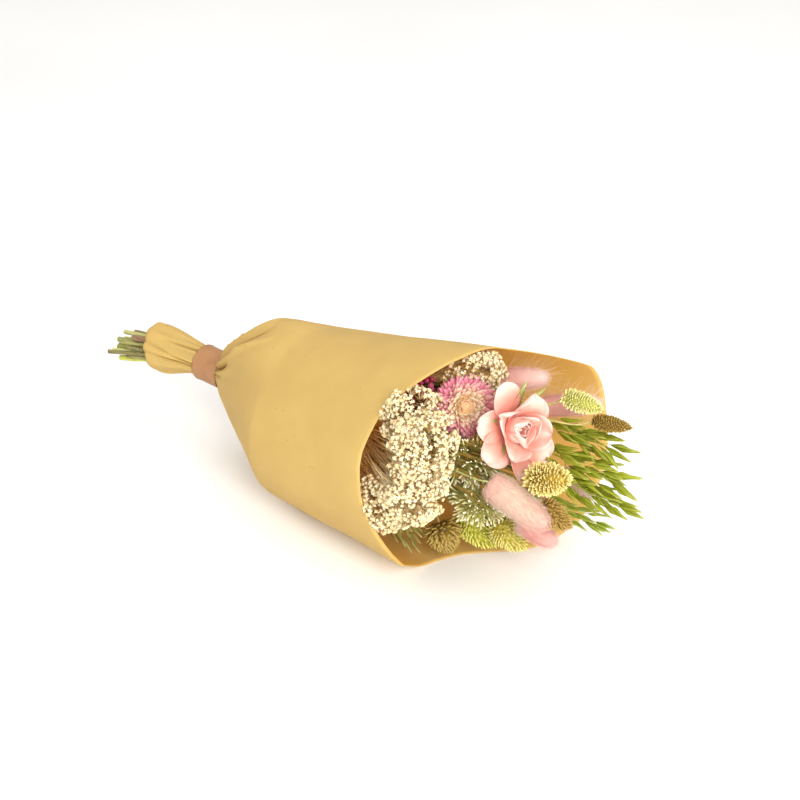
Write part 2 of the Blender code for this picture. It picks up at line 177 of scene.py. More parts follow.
def smooth_line(points, step):
    """Evenly spaced places on the smooth curve through points."""
    points = np.asarray(points, float)
    ends = np.vstack([2 * points[0] - points[1], points, 2 * points[-1] - points[-2]])
    fine = []
    for k in range(len(points) - 1):
        a, b, c, d = ends[k : k + 4]
        for t in np.linspace(0.0, 1.0, 12, endpoint=False):
            fine.append(
                0.5 * (2 * b + (c - a) * t + (2 * a - 5 * b + 4 * c - d) * t**2
                       + (3 * b - a - 3 * c + d) * t**3)
            )
    fine.append(points[-1])
    fine = np.array(fine)
    run = np.concatenate([[0.0], np.cumsum(np.linalg.norm(np.diff(fine, axis=0), axis=1))])
    count = max(3, int(round(run[-1] / step)) + 1)
    even = np.linspace(0.0, run[-1], count)
    return np.stack([np.interp(even, run, fine[:, k]) for k in range(3)], axis=1)


def merged_mesh(node):
    """A copy of a CAD node's mesh with its doubled points made one."""
    mesh = bmesh.new()
    mesh.from_mesh(NODES[node].data)
    bmesh.ops.remove_doubles(mesh, verts=mesh.verts, dist=1e-5)
    return mesh


def spine(node):
    """Centres and radii of the rings of a swept node, from its cut end to its tip."""
    mesh = merged_mesh(node)
    lowest = min(v.co.x for v in mesh.verts)
    ring = [v for v in mesh.verts if v.co.x < lowest + 0.005]
    seen = set(ring)
    centres, radii = [], []
    while ring:
        places = np.array([v.co for v in ring])
        middle = places.mean(axis=0)
        centres.append(middle)
        radii.append(float(np.linalg.norm(places - middle, axis=1).mean()))
        following = []
        for vert in ring:
            for edge in vert.link_edges:
                other = edge.other_vert(vert)
                if other not in seen:
                    seen.add(other)
                    following.append(other)
        ring = following
    mesh.free()
    return np.array(centres), np.array(radii)


class Sprig:
    """Where one plant's stem and head are, read from its CAD node."""

    def __init__(self, node):
        centres, radii = spine(node)
        self.stem_radius = float(np.median(radii[:5]))
        start = next(i for i in range(3, len(radii)) if radii[i] > 1.2 * self.stem_radius) - 1
        self.base = centres[start]
        self.stem = centres[: start + 1]
        self.axis = unit(centres[-1] - self.base)
        self.length = float(np.linalg.norm(centres[-1] - self.base))
        self.radius = float(radii.max())


def line_mesh(name, lines):
    """A mesh of open lines. lines: (points, radii, tint). Each point keeps its radius, its share of
    the way along, and its line's tint."""
    mesh = bpy.data.meshes.new(name)
    points, edges, thick, along, tint = [], [], [], [], []
    for places, radii, shade in lines:
        first = len(points)
        count = len(places)
        points.extend(places)
        edges.extend((first + k, first + k + 1) for k in range(count - 1))
        thick.extend(np.broadcast_to(radii, (count,)))
        along.extend(np.linspace(0.0, 1.0, count))
        tint.extend([shade] * count)
    mesh.from_pydata([tuple(p) for p in points], edges, [])
    for label, values in (("thick", thick), ("along", along), ("tint", tint)):
        add_values(mesh, label, values)
    return mesh


def add_values(mesh, label, values):
    layer = mesh.attributes.new(label, "FLOAT", "POINT")
    layer.data.foreach_set("value", np.asarray(values, np.float32))


def point_mesh(name, places, aims, sides, sizes):
    """Loose points with the way each one's shape looks, the way its flat side faces, its size."""
    mesh = bpy.data.meshes.new(name)
    mesh.from_pydata([tuple(p) for p in places], [], [])
    for label, values in (("aim", aims), ("side", sides)):
        layer = mesh.attributes.new(label, "FLOAT_VECTOR", "POINT")
        layer.data.foreach_set("vector", np.asarray(values, np.float32).ravel())
    add_values(mesh, "size", sizes)
    return mesh


def grid_mesh(name, grid):
    """Faces over a grid of points, rows by columns."""
    grid = np.asarray(grid, float)
    rows, columns = grid.shape[:2]
    mesh = bpy.data.meshes.new(name)
    index = np.arange(rows * columns).reshape(rows, columns)
    here, after = index[:, :-1], index[:, 1:]
    faces = np.stack([here[:-1], after[:-1], after[1:], here[1:]], axis=-1).reshape(-1, 4)
    mesh.from_pydata(grid.reshape(-1, 3).tolist(), [], faces.tolist())
    return mesh


def lathe_mesh(name, centres, radii, sides):
    """A closed smooth solid of revolution along centres, pointed at both ends."""
    centres = np.asarray(centres, float)
    tangents = np.gradient(centres, axis=0)
    turns = np.linspace(0.0, 2.0 * math.pi, sides, endpoint=False)
    cosines, sines = np.cos(turns)[:, None], np.sin(turns)[:, None]
    rings = []
    first, _ = ways_across(tangents[0])
    for centre, tangent, radius in zip(centres, tangents, radii):
        along = unit(tangent)
        first = unit(first - along * np.dot(first, along))
        second = np.cross(along, first)
        rings.append(centre + radius * (cosines * first + sines * second))
    mesh = bmesh.new()
    rows = [[mesh.verts.new(tuple(p)) for p in ring] for ring in rings[1:-1]]
    start = mesh.verts.new(tuple(centres[0]))
    end = mesh.verts.new(tuple(centres[-1]))
    pairs = [(k, (k + 1) % sides) for k in range(sides)]
    for near, far in zip(rows, rows[1:]):
        for k, after in pairs:
            mesh.faces.new((near[k], near[after], far[after], far[k]))
    for k, after in pairs:
        mesh.faces.new((start, rows[0][after], rows[0][k]))
        mesh.faces.new((end, rows[-1][k], rows[-1][after]))
    made = bpy.data.meshes.new(name)
    mesh.to_mesh(made)
    mesh.free()
    return made


def scene_object(name, mesh, finish=None):
    made = bpy.data.objects.new(name, mesh)
    bpy.context.scene.collection.objects.link(made)
    if finish is not None:
        mesh.materials.clear()
        mesh.materials.append(finish)
    return made


def plain_mesh(obj):
    """The mesh that an object's modifiers make. The object goes."""
    bpy.context.view_layer.update()
    graph = bpy.context.evaluated_depsgraph_get()
    mesh = bpy.data.meshes.new_from_object(obj.evaluated_get(graph))
    bpy.data.objects.remove(obj)
    keep = [m for m in mesh.materials if m is not None]
    if keep and len(keep) < len(mesh.materials):
        mesh.materials.clear()
        mesh.materials.append(keep[0])
        mesh.polygons.foreach_set("material_index", [0] * len(mesh.polygons))
    return mesh


def piece(name, meshes, replaced):
    """One finished piece from several meshes. It stands for the CAD nodes in replaced."""
    parts = [scene_object(name, mesh) for mesh in meshes]
    first = parts[0]
    if len(parts) > 1:
        with bpy.context.temp_override(
            active_object=first, object=first, selected_objects=parts,
            selected_editable_objects=parts,
        ):
            bpy.ops.object.join()
    first.name = name
    first.data.name = name
    first.data.shade_smooth()
    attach(first, "root")
    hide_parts(*replaced)
    return first


# ---------------------------------------------------------------- node trees for geometry


def named_value(label, kind="FLOAT"):
    return ("GeometryNodeInputNamedAttribute", {"data_type": kind}, {"Name": label})


# Every tree: its inputs besides geometry, its nodes (type, settings, values of inputs), and its
# links (node.output > node.input, by name or number)
TREES = {
    # Sweeps a round section along each line, as thick as the line's points say
    "Rods": (
        (("Sides", "Int"), ("Finish", "Material")),
        {
            "curve": ("GeometryNodeMeshToCurve", {}, {}),
            "thick": named_value("thick"),
            "section": ("GeometryNodeCurvePrimitiveCircle", {}, {"Radius": 1.0}),
            "sweep": ("GeometryNodeCurveToMesh", {}, {"Fill Caps": True}),
            "realize": ("GeometryNodeRealizeInstances", {}, {}),
            "finish": ("GeometryNodeSetMaterial", {}, {}),
        },
        (
            "start.Geometry > curve.0",
            "thick.Attribute > sweep.Scale",
            "start.Sides > section.Resolution",
            "curve.0 > sweep.Curve",
            "section.0 > sweep.Profile Curve",
            "sweep.0 > realize.0",
            "realize.0 > finish.Geometry",
            "start.Finish > finish.Material",
            "finish.0 > end.Geometry",
        ),
    ),
    # Puts a shape on every point, turned and sized as the point says, with a little chance
    "Strew": (
        (("Shape", "Object"), ("Spread", "Float"), ("Roll", "Float"), ("Seed", "Int"),
         ("Finish", "Material")),
        {
            "shape": ("GeometryNodeObjectInfo", {}, {"As Instance": True}),
            "aim": named_value("aim", "FLOAT_VECTOR"),
            "side": named_value("side", "FLOAT_VECTOR"),
            "size": named_value("size"),
            "look": ("FunctionNodeAlignRotationToVector", {"axis": "Z"}, {}),
            "face": ("FunctionNodeAlignRotationToVector", {"axis": "X", "pivot_axis": "Z"}, {}),
            "spin": ("FunctionNodeRotateRotation", {"rotation_space": "LOCAL"}, {}),
            "turn": ("FunctionNodeAxisAngleToRotation", {}, {"Axis": (0.0, 0.0, 1.0)}),
            "roll": ("FunctionNodeRandomValue", {}, {}),
            "back": ("ShaderNodeMath", {"operation": "MULTIPLY"}, {1: -1.0}),
            "sizes": ("FunctionNodeRandomValue", {}, {}),
            "low": ("ShaderNodeMath", {"operation": "SUBTRACT"}, {0: 1.0}),
            "high": ("ShaderNodeMath", {"operation": "ADD"}, {0: 1.0}),
            "grow": ("ShaderNodeMath", {"operation": "MULTIPLY"}, {}),
            "chance": ("FunctionNodeRandomValue", {}, {}),
            "strew": ("GeometryNodeInstanceOnPoints", {}, {}),
            "tinted": (
                "GeometryNodeStoreNamedAttribute", {"data_type": "FLOAT", "domain": "INSTANCE"},
                {"Name": "tint"},
            ),
            "realize": ("GeometryNodeRealizeInstances", {}, {}),
            "finish": ("GeometryNodeSetMaterial", {}, {}),
        },
        (
            "start.Shape > shape.Object",
            "aim.Attribute > look.Vector",
            "look.0 > face.Rotation",
            "side.Attribute > face.Vector",
            "start.Roll > roll.3",
            "start.Roll > back.0",
            "back.0 > roll.2",
            "start.Seed > roll.Seed",
            "roll.1 > turn.Angle",
            "face.0 > spin.Rotation",
            "turn.0 > spin.Rotate By",
            "start.Spread > low.1",
            "start.Spread > high.1",
            "low.0 > sizes.2",
            "high.0 > sizes.3",
            "start.Seed > sizes.Seed",
            "sizes.1 > grow.0",
            "size.Attribute > grow.1",
            "start.Geometry > strew.Points",
            "shape.Geometry > strew.Instance",
            "spin.0 > strew.Rotation",
            "grow.0 > strew.Scale",
            "strew.0 > tinted.Geometry",
            "start.Seed > chance.Seed",
            "chance.1 > tinted.Value",
            "tinted.0 > realize.0",
            "realize.0 > finish.Geometry",
            "start.Finish > finish.Material",
            "finish.0 > end.Geometry",
        ),
    ),
}


def make_tree(name):
    """A geometry tree from its table."""
    sockets, nodes, links = TREES[name]
    tree = bpy.data.node_groups.new(name, "GeometryNodeTree")
    for label, kind in (("Geometry", "Geometry"), *sockets):
        tree.interface.new_socket(label, in_out="INPUT", socket_type="NodeSocket" + kind)
    tree.interface.new_socket("Geometry", in_out="OUTPUT", socket_type="NodeSocketGeometry")
    made = {"start": tree.nodes.new("NodeGroupInput"), "end": tree.nodes.new("NodeGroupOutput")}
    for label, (kind, settings, values) in nodes.items():
        node = made[label] = tree.nodes.new(kind)
        for key, value in settings.items():
            setattr(node, key, value)
        for key, value in values.items():
            node.inputs[key].default_value = value
    for link in links:
        (source, output), (target, entry) = (end.split(".") for end in link.split(" > "))
        output, entry = (int(key) if key.isdigit() else key for key in (output, entry))
        tree.links.new(made[source].outputs[output], made[target].inputs[entry])
    return tree


def run_tree(mesh, name, values):
    """The plain mesh that a geometry tree makes from mesh."""
    tree = bpy.data.node_groups.get(name) or make_tree(name)
    source = scene_object(mesh.name, mesh)
    modifier = source.modifiers.new(tree.name, "NODES")
    modifier.node_group = tree
    for item in tree.interface.items_tree:
        if item.item_type == "SOCKET" and item.in_out == "INPUT" and item.name in values:
            modifier[item.identifier] = values[item.name]
    return plain_mesh(source)


def rods(name, lines, sides, finish):
    return run_tree(line_mesh(name, lines), "Rods", {"Sides": sides, "Finish": finish})


def strewn(points, shape, finish, seed, spread=0.15, roll=0.3):
    values = {"Shape": shape, "Spread": spread, "Roll": roll, "Seed": seed, "Finish": finish}
    return run_tree(points, "Strew", values)


# ---------------------------------------------------------------- materials


class Paint:
    """A node material under construction. Patterns lie in the object's own space, in metres."""

    def __init__(self, name, roughness=0.75, sheen=0.0):
        self.material = bpy.data.materials.new(name)
        self.material.use_nodes = True
        self.tree = self.material.node_tree
        self.shader = self.tree.nodes["Principled BSDF"]
        self.shader.inputs["Roughness"].default_value = roughness
        self.shader.inputs["Sheen Weight"].default_value = sheen
        self.place = self.node("TexCoord").outputs["Object"]

    def node(self, kind, *values, **settings):
        """A new node with these settings. values go to its first inputs."""
        node = self.tree.nodes.new("ShaderNode" + kind)
        for key, value in settings.items():
            setattr(node, key, value)
        for socket, value in zip(node.inputs, values):
            self.put(value, socket)
        return node

    def put(self, value, socket):
        if isinstance(value, bpy.types.NodeSocket):
            self.tree.links.new(value, socket)
        elif socket.type == "RGBA":
            socket.default_value = (*value[:3], 1.0)
        else:
            socket.default_value = value

    def value(self, label):
        return self.node("Attribute", attribute_name=label).outputs["Fac"]

    def math(self, operation, first, second=0.0):
        return self.node("Math", first, second, operation=operation).outputs[0]

    def squeeze(self, value, low, high, first=0.0, last=1.0):
        """value from low to high becomes first to last, and stays there beyond."""
        node = self.node("MapRange", value, low, high, first, last, interpolation_type="SMOOTHSTEP")
        return node.outputs[0]

    def pattern(self, kind, scale, stretch):
        """A pattern node. stretch packs the pattern closer along each axis."""
        place = self.place
        if stretch is not None:
            mapping = self.node("Mapping", place)
            mapping.inputs["Scale"].default_value = stretch
            place = mapping.outputs[0]
        node = self.node(kind, place)
        node.inputs["Scale"].default_value = scale
        return node

    def noise(self, scale, detail=3.0, rough=0.55, stretch=None):
        node = self.pattern("TexNoise", scale, stretch)
        node.inputs["Detail"].default_value = detail
        node.inputs["Roughness"].default_value = rough
        return node.outputs["Fac"]

    def cells(self, scale, stretch=None):
        """Distance from scattered points, in cells."""
        return self.pattern("TexVoronoi", scale, stretch).outputs["Distance"]

    def blend(self, share, first, second):
        node = self.node("Mix", share, data_type="RGBA")
        self.put(first, node.inputs[6])
        self.put(second, node.inputs[7])
        return node.outputs[2]

    def over(self, base, colour, value, low, high, first=0.0, last=1.0):
        """base with colour over it: its share is first where value is low, and last where high."""
        return self.blend(self.squeeze(value, low, high, first, last), base, colour)

    def bump(self, height, distance, strength=1.0, under=None):
        node = self.node("Bump")
        node.inputs["Distance"].default_value = distance
        node.inputs["Strength"].default_value = strength
        self.put(height, node.inputs["Height"])
        if under is not None:
            self.put(under, node.inputs["Normal"])
        return node.outputs["Normal"]

    def finish(self, colour, normal=None, roughness=None, glow=0.0, through_colour=None):
        """The finished material. glow is the share of light that passes through thin stuff."""
        self.put(colour, self.shader.inputs["Base Color"])
        if normal is not None:
            self.put(normal, self.shader.inputs["Normal"])
        if roughness is not None:
            self.put(roughness, self.shader.inputs["Roughness"])
        if glow:
            through = self.node("BsdfTranslucent", through_colour or colour)
            both = self.node("MixShader", glow, self.shader.outputs[0], through.outputs[0])
            self.put(both.outputs[0], self.tree.nodes["Material Output"].inputs["Surface"])
        return self.material


def kraft_material(colour):
    """Unbleached paper: cloudy pulp, crossed fine fibres, scarce flecks, painted shade in its
    creases.
    """
    paint = Paint("kraft_paper", roughness=0.62)
    cloud = paint.noise(34.0, 4.0)
    grain = paint.noise(900.0, 3.0, 0.7, (0.35, 1.0, 1.0))
    fibre = paint.noise(1500.0, 2.0, 0.6, (1.0, 0.22, 0.3))
    pale = lightened(colour, 1.05, 0.01)
    deep = scaled(colour, 0.86, 0.78, 0.60)
    low = tuple(a + (b - a) * 0.15 for a, b in zip(colour, deep))
    base = paint.over(low, pale, cloud, 0.30, 0.72)
    base = paint.over(base, deep, grain, 0.55, 0.80, 0.0, 0.30)
    base = paint.over(base, pale, fibre, 0.58, 0.80, 0.0, 0.35)
    dark_fleck = paint.squeeze(paint.cells(210.0, (0.5, 1.2, 1.0)), 0.045, 0.095, 0.85, 0.0)
    rare = paint.squeeze(paint.noise(70.0, 1.0), 0.46, 0.54)
    base = paint.blend(paint.math("MULTIPLY", dark_fleck, rare), base, (0.20, 0.085, 0.022))
    flecks = paint.cells(160.0, (1.1, 0.6, 1.0))
    base = paint.over(base, (0.88, 0.70, 0.38), flecks, 0.03, 0.10, 0.30, 0.0)
    # Painted shade: deep brown laid into the creases, darker where the fold is deeper
    base = paint.over(base, (0.24, 0.11, 0.02), paint.value("crease"), 0.10, 0.55, 0.0, 0.90)
    rise = paint.math(
        "ADD", paint.math("MULTIPLY", grain, 0.6), paint.math("MULTIPLY", fibre, 0.4)
    )
    normal = paint.bump(rise, 0.00010, 0.6, paint.bump(cloud, 0.0009, 0.35))
    rough = paint.squeeze(cloud, 0.3, 0.7, 0.56, 0.70)
    return paint.finish(base, normal, rough, glow=0.42, through_colour=(0.96, 0.58, 0.11))


def strip_material(colour):
    """Smooth dyed paper: faint clouds, very fine fibre, a worn paler fold here and there."""
    paint = Paint("band_paper", roughness=0.55)
    cloud = paint.noise(60.0, 3.0)
    fibre = paint.noise(1700.0, 2.0, 0.6, (0.3, 1.0, 1.0))
    worn = paint.noise(160.0, 4.0, 0.6, (1.0, 0.4, 1.6))
    pale = lightened(colour, 1.22, 0.025)
    base = paint.over(colour, pale, cloud, 0.3, 0.7)
    base = paint.over(base, scaled(colour, 0.72), fibre, 0.50, 0.78, 0.0, 0.4)
    base = paint.over(base, pale, worn, 0.60, 0.74, 0.0, 0.35)
    normal = paint.bump(fibre, 0.00007, 0.5, paint.bump(worn, 0.0005, 0.4))
    return paint.finish(base, normal, paint.squeeze(cloud, 0.3, 0.7, 0.48, 0.62))


def rubber_material():
    paint = Paint("tie_rubber", roughness=0.6)
    dust = paint.noise(420.0, 4.0, 0.6)
    base = paint.over((0.40, 0.23, 0.09), (0.55, 0.36, 0.16), dust, 0.35, 0.7)
    normal = paint.bump(dust, 0.0001, 0.6)
    return paint.finish(base, normal, paint.squeeze(dust, 0.3, 0.7, 0.5, 0.75))


def streaked_material(name, low, high, stripe, streak=1.0):
    """Dried plant stuff with streaks. tint chooses from low to high, stripe darkens the streaks."""
    paint = Paint(name, roughness=0.62)
    streaks = paint.noise(620.0, 3.0, 0.6, (0.10, 1.0, 1.0))
    spots = paint.noise(260.0, 4.0, 0.6)
    base = paint.blend(paint.value("tint"), low, high)
    base = paint.over(base, stripe, streaks, 0.45, 0.72, 0.0, 0.65 * streak)
    base = paint.over(base, lightened(high, 1.35, 0.03), spots, 0.55, 0.75, 0.0, 0.5)
    rough = paint.squeeze(spots, 0.3, 0.7, 0.54, 0.74)
    return paint.finish(base, paint.bump(streaks, 0.00018, 0.7), rough)


def tipped_material(name, root, middle, tip, other, gloss=0.7, glow=0.15):
    """Colour from root over middle to tip along a part. tint leads some of them towards other."""
    paint = Paint(name, roughness=gloss)
    along = paint.value("along")
    specks = paint.noise(900.0, 3.0, 0.6)
    base = paint.over(root, middle, along, 0.0, 0.5)
    base = paint.over(base, tip, along, 0.5, 1.0)
    base = paint.over(base, other, paint.value("tint"), 0.45, 1.0, 0.0, 0.85)
    base = paint.over(base, scaled(root, 0.62), specks, 0.50, 0.80, 0.0, 0.40)
    rough = paint.squeeze(specks, 0.3, 0.7, gloss - 0.1, gloss + 0.1)
    return paint.finish(base, paint.bump(specks, 0.00012, 0.5), rough, glow)


def keeled_material(name, edge, keel, tip, gloss=0.6, glow=0.12):
    """A papery scale: its edge, a keel down its middle, ribs, and a tip of another colour."""
    paint = Paint(name, roughness=gloss)
    ribs = paint.noise(1500.0, 2.0, 0.5)
    base = paint.over(edge, keel, paint.value("across"), 0.15, 0.75, 1.0, 0.0)
    base = paint.over(base, tip, paint.value("along"), 0.55, 1.0, 0.0, 0.75)
    base = paint.blend(paint.math("MULTIPLY", paint.value("tint"), 0.45), base, edge)
    base = paint.over(base, scaled(keel, 0.55), ribs, 0.55, 0.78, 0.0, 0.45)
    return paint.finish(base, paint.bump(ribs, 0.00012, 0.5), None, glow)


def petal_material(name, colour, pale, deep):
    """A rose petal: paler at its rim, deeper towards its root, with fine veins and blotches."""
    paint = Paint(name, roughness=0.62, sheen=0.25)
    along = paint.value("along")
    cloud = paint.noise(95.0, 3.0)
    veins = paint.noise(1100.0, 3.0, 0.65, (0.35, 1.0, 1.0))
    base = paint.over(deep, colour, along, 0.0, 0.62)
    base = paint.over(base, pale, along, 0.62, 1.0, 0.0, 0.80)
    base = paint.over(base, pale, cloud, 0.42, 0.75, 0.0, 0.55)
    base = paint.over(base, deep, veins, 0.52, 0.75, 0.0, 0.30)
    normal = paint.bump(veins, 0.00010, 0.45, paint.bump(cloud, 0.0006, 0.3))
    return paint.finish(base, normal, paint.squeeze(cloud, 0.3, 0.7, 0.52, 0.68), glow=0.22)


def floor_material():
    paint = Paint("studio_floor", roughness=0.9)
    return paint.finish(
        paint.over((0.86, 0.86, 0.86), (0.90, 0.90, 0.90), paint.noise(3.0, 2.0), 0.3, 0.7)
    )


# ---------------------------------------------------------------- paper

BAND_MARGIN = 0.0004  # the neck runs this far beyond the band at each end
BAND_BACK, BAND_FRONT = BAND_LOW.x - BAND_MARGIN, BAND_HIGH.x + BAND_MARGIN

# Folds of the wrap: start and end as (distance in front of the band, angle round the axis), depth
# at the start, middle and end, and half width at the start and end. Depth under 0 is a ridge.
# Millimetres and degrees.
FLARE_FOLDS = (
    ((0.5, 130), (52, 92), (10.0, 10.0, 0.0), (2.4, 6.0)),
    ((0.5, 139), (60, 104), (-4.5, -5.5, -0.4), (2.2, 6.0)),
    ((0.5, 147), (32, 120), (8.0, 6.0, 0.0), (1.8, 4.2)),
    ((0.5, 155), (36, 132), (-3.0, -3.4, 0.0), (2.0, 5.0)),
    ((0.5, 163), (18, 150), (3.0, 2.0, 0.0), (1.4, 3.4)),
    ((0.5, 119), (50, 80), (-3.4, -4.4, -0.3), (1.8, 5.4)),
    ((0.5, 98), (46, 60), (3.6, 2.6, 0.0), (2.0, 5.0)),
    ((0.5, 70), (46, 52), (3.6, 2.6, 0.0), (2.0, 5.0)),
    ((0.5, 30), (40, 26), (3.0, 2.2, 0.0), (2.2, 5.0)),
    ((0.5, 350), (36, 355), (2.4, 1.8, 0.0), (2.2, 5.0)),
    ((0.5, 300), (34, 296), (2.4, 1.6, 0.0), (2.2, 5.0)),
    ((0.5, 180), (18, 178), (1.2, 0.6, 0.0), (2.0, 4.0)),
    ((0.5, 210), (22, 206), (1.4, 0.8, 0.0), (2.0, 4.0)),
)
# The same behind the band, with distances measured backwards from it
COLLAR_FOLDS = (
    ((0.0, 172), (40, 142), (3.4, 2.8, 1.0), (1.4, 3.6)),
    ((0.0, 182), (41, 168), (3.2, 2.2, 0.8), (1.4, 3.0)),
    ((1.0, 160), (34, 158), (-1.4, -1.8, 0.0), (2.4, 5.0)),
    ((0.0, 112), (30, 126), (3.0, 2.4, 0.0), (1.4, 3.4)),
    ((0.0, 126), (22, 138), (-1.2, -1.4, 0.0), (1.6, 3.4)),
    ((0.0, 84), (26, 92), (2.0, 1.4, 0.0), (1.6, 3.2)),
    ((0.0, 208), (34, 204), (1.8, 1.0, 0.0), (1.8, 3.4)),
    ((0.0, 236), (30, 240), (2.0, 1.2, 0.0), (1.8, 3.4)),
    ((0.0, 20), (30, 14), (2.2, 1.4, 0.0), (1.8, 3.4)),
    ((0.0, 310), (30, 316), (2.2, 1.4, 0.0), (1.8, 3.4)),
)
COLLAR_SLANT = 13.0 * MM  # how much longer the collar is on top
COLLAR_RUN = 37.0 * MM
COLLAR_DROP = 4.5 * MM
SHOULDER_RUN = 82.0 * MM  # from the band's front to where the wrap becomes an even cone
CONE_RUN = 0.06  # the cone's slope is measured over this length
FLOOR_SHARE = 0.95  # height of the cone's axis as a share of its radius
SHEET_COLUMNS, SHEET_SMOOTHING = 300, 9
BAND_COLUMNS, BAND_ROWS, BAND_SMOOTHING = 181, 25, 4
BAND_THICKNESS = 0.0004
EDGE_LIFT = 0.0003  # of the band's two edges
EDGE_ROOM = 0.0002  # rays keep this far inside a sheet's edge
# Fold depth at which the painted crease shade is at its darkest
CREASE_SHADE_FULL_DEPTH = 7.0 * MM
FLOOR_GAP = 0.0004  # the paper stays above 0, and the floor lies under 0, by this much
MOUTH_HALVINGS = 14
DENT_DEPTH, DENT_RATES = 0.0011, (22.0, 2.2)  # soft dents of the cone, along X and round it
WAVE_DEPTH, WAVE_RATES = 0.0003, (60.0, 3.0)  # the same of the band


class Roll:
    """A rolled sheet of paper, read from its CAD solid by rays that start on its axis."""

    def __init__(self, node, stations, heights):
        mesh = merged_mesh(node)
        self.tree = BVHTree.FromBMesh(mesh)
        mesh.free()
        self.low, self.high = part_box(node)
        self.stations, self.heights = stations, heights
        self.find_lap(stations[-2])

    def height(self, x):
        return float(np.interp(x, self.stations, self.heights))

    def layers(self, x, turn):
        """Distances from the axis of the middle of each layer of paper at this turn."""
        way = Vector((0.0, math.cos(turn), math.sin(turn)))
        start = Vector((x, NECK_Y, self.height(x)))
        found, gone = [], 0.0
        while True:
            place, _, _, far = self.tree.ray_cast(start + way * gone, way)
            if place is None:
                return [(a + b) / 2 for a, b in zip(found[::2], found[1::2])]
            gone += far + 2e-6
            found.append(gone)

    def find_lap(self, x):
        """Where the sheet begins and how far it goes round, in radians."""
        turns = np.radians(np.arange(0.1, 720.1, 0.25))  # twice round, since a lap may cross 0
        double = [len(self.layers(x, turn)) > 1 for turn in turns]
        first = next(i for i in range(1, len(double)) if double[i] and not double[i - 1])
        last = next(i for i in range(first, len(double)) if not double[i])
        self.start = turns[first] + 0.004
        self.round = 2 * math.pi + turns[last] - turns[first] - 0.012

    def radius(self, x, turn):
        """Distance of the sheet from the axis, at a turn counted from its beginning."""
        found = self.layers(x, self.start + turn)
        if not found:
            return None
        return found[-1] if turn > 2 * math.pi - 0.02 else found[0]

    def mouth(self, turn):
        """How far along X the sheet reaches at this turn."""
        near, far = self.stations[-2], self.high.x
        for _ in range(MOUTH_HALVINGS):
            middle = (near + far) / 2
            if self.radius(middle, turn) is None:
                far = middle
            else:
                near = middle
        return near


def smoothed(table, rounds):
    """Each value of a table led towards its neighbours', along rows and along columns."""
    for _ in range(rounds):
        for axis in (0, 1):
            first = np.take(table, [0], axis=axis)
            last = np.take(table, [-1], axis=axis)
            padded = np.concatenate([first, table, last], axis=axis)
            before = np.delete(padded, [-1, -2], axis=axis)
            after = np.delete(padded, [0, 1], axis=axis)
            table = 0.5 * table + 0.25 * (before + after)
    return table


def fold_depth(folds, gone, turn, radius):
    """How far the folds draw the paper in, gone metres from the band at this turn."""
    total = 0.0
    for (near, near_turn), (far, far_turn), depths, widths in folds:
        share = (gone / MM - near) / (far - near)
        if not -0.06 < share < 1.0:
            continue
        fade = float(smooth_step(share, -0.06, 0.05))
        share = max(share, 0.0)
        middle = near_turn + (far_turn - near_turn) * share
        away = (math.degrees(turn) - middle + 180.0) % 360.0 - 180.0
        width = (widths[0] + (widths[1] - widths[0]) * share) * MM
        aside = abs(math.radians(away)) * radius / width
        if aside < 1.0:
            deep = np.interp(share, (0.0, 0.5, 1.0), depths) * MM
            total += deep * fade * (1.0 - aside) ** 1.4
    return total


def wrap_roll():
    shoulder = BAND_FRONT + SHOULDER_RUN
    spot = Roll("kraft_wrap", [-1.0, shoulder, 1.0], [NECK_Z] * 3)
    stations = [BAND_BACK - COLLAR_RUN, BAND_BACK, BAND_FRONT, shoulder, shoulder + CONE_RUN]
    tops = [NECK_Z + spot.layers(x, math.pi / 2)[-1] for x in stations[3:]]
    heights = [top * FLOOR_SHARE / (1.0 + FLOOR_SHARE) for top in tops]
    slope = (heights[1] - heights[0]) / CONE_RUN
    stations.append(spot.high.x + 0.01)
    heights.append(heights[1] + slope * (stations[-1] - stations[-2]))
    return Roll("kraft_wrap", stations, [NECK_Z - COLLAR_DROP, NECK_Z, NECK_Z, *heights])


def sheet_rows(mouth):
    """Places along X of the sheet's rows, from the collar's end to the mouth edge."""
    shoulder = BAND_FRONT + SHOULDER_RUN
    collar = np.linspace(BAND_BACK - COLLAR_RUN, BAND_BACK, 26)[:-1]
    neck = np.linspace(BAND_BACK, BAND_FRONT, 7)[:-1]
    flare = BAND_FRONT + SHOULDER_RUN * np.linspace(0.0, 1.0, 62)[:-1] ** 1.15
    return np.concatenate([collar, neck, flare, np.linspace(shoulder, mouth, 40)])


def dent(x, turn, rates):
    """A smooth random value for a place on a roll."""
    along, around = rates
    return noise.noise(Vector((x * along, around * math.cos(turn), around * math.sin(turn))))


def thickened(name, mesh, thickness):
    """The mesh of a sheet with this thickness, half of it on each side."""
    sheet = scene_object(name, mesh)
    thick = sheet.modifiers.new("Thickness", "SOLIDIFY")
    thick.thickness = thickness
    thick.offset = 0.0
    return plain_mesh(sheet)


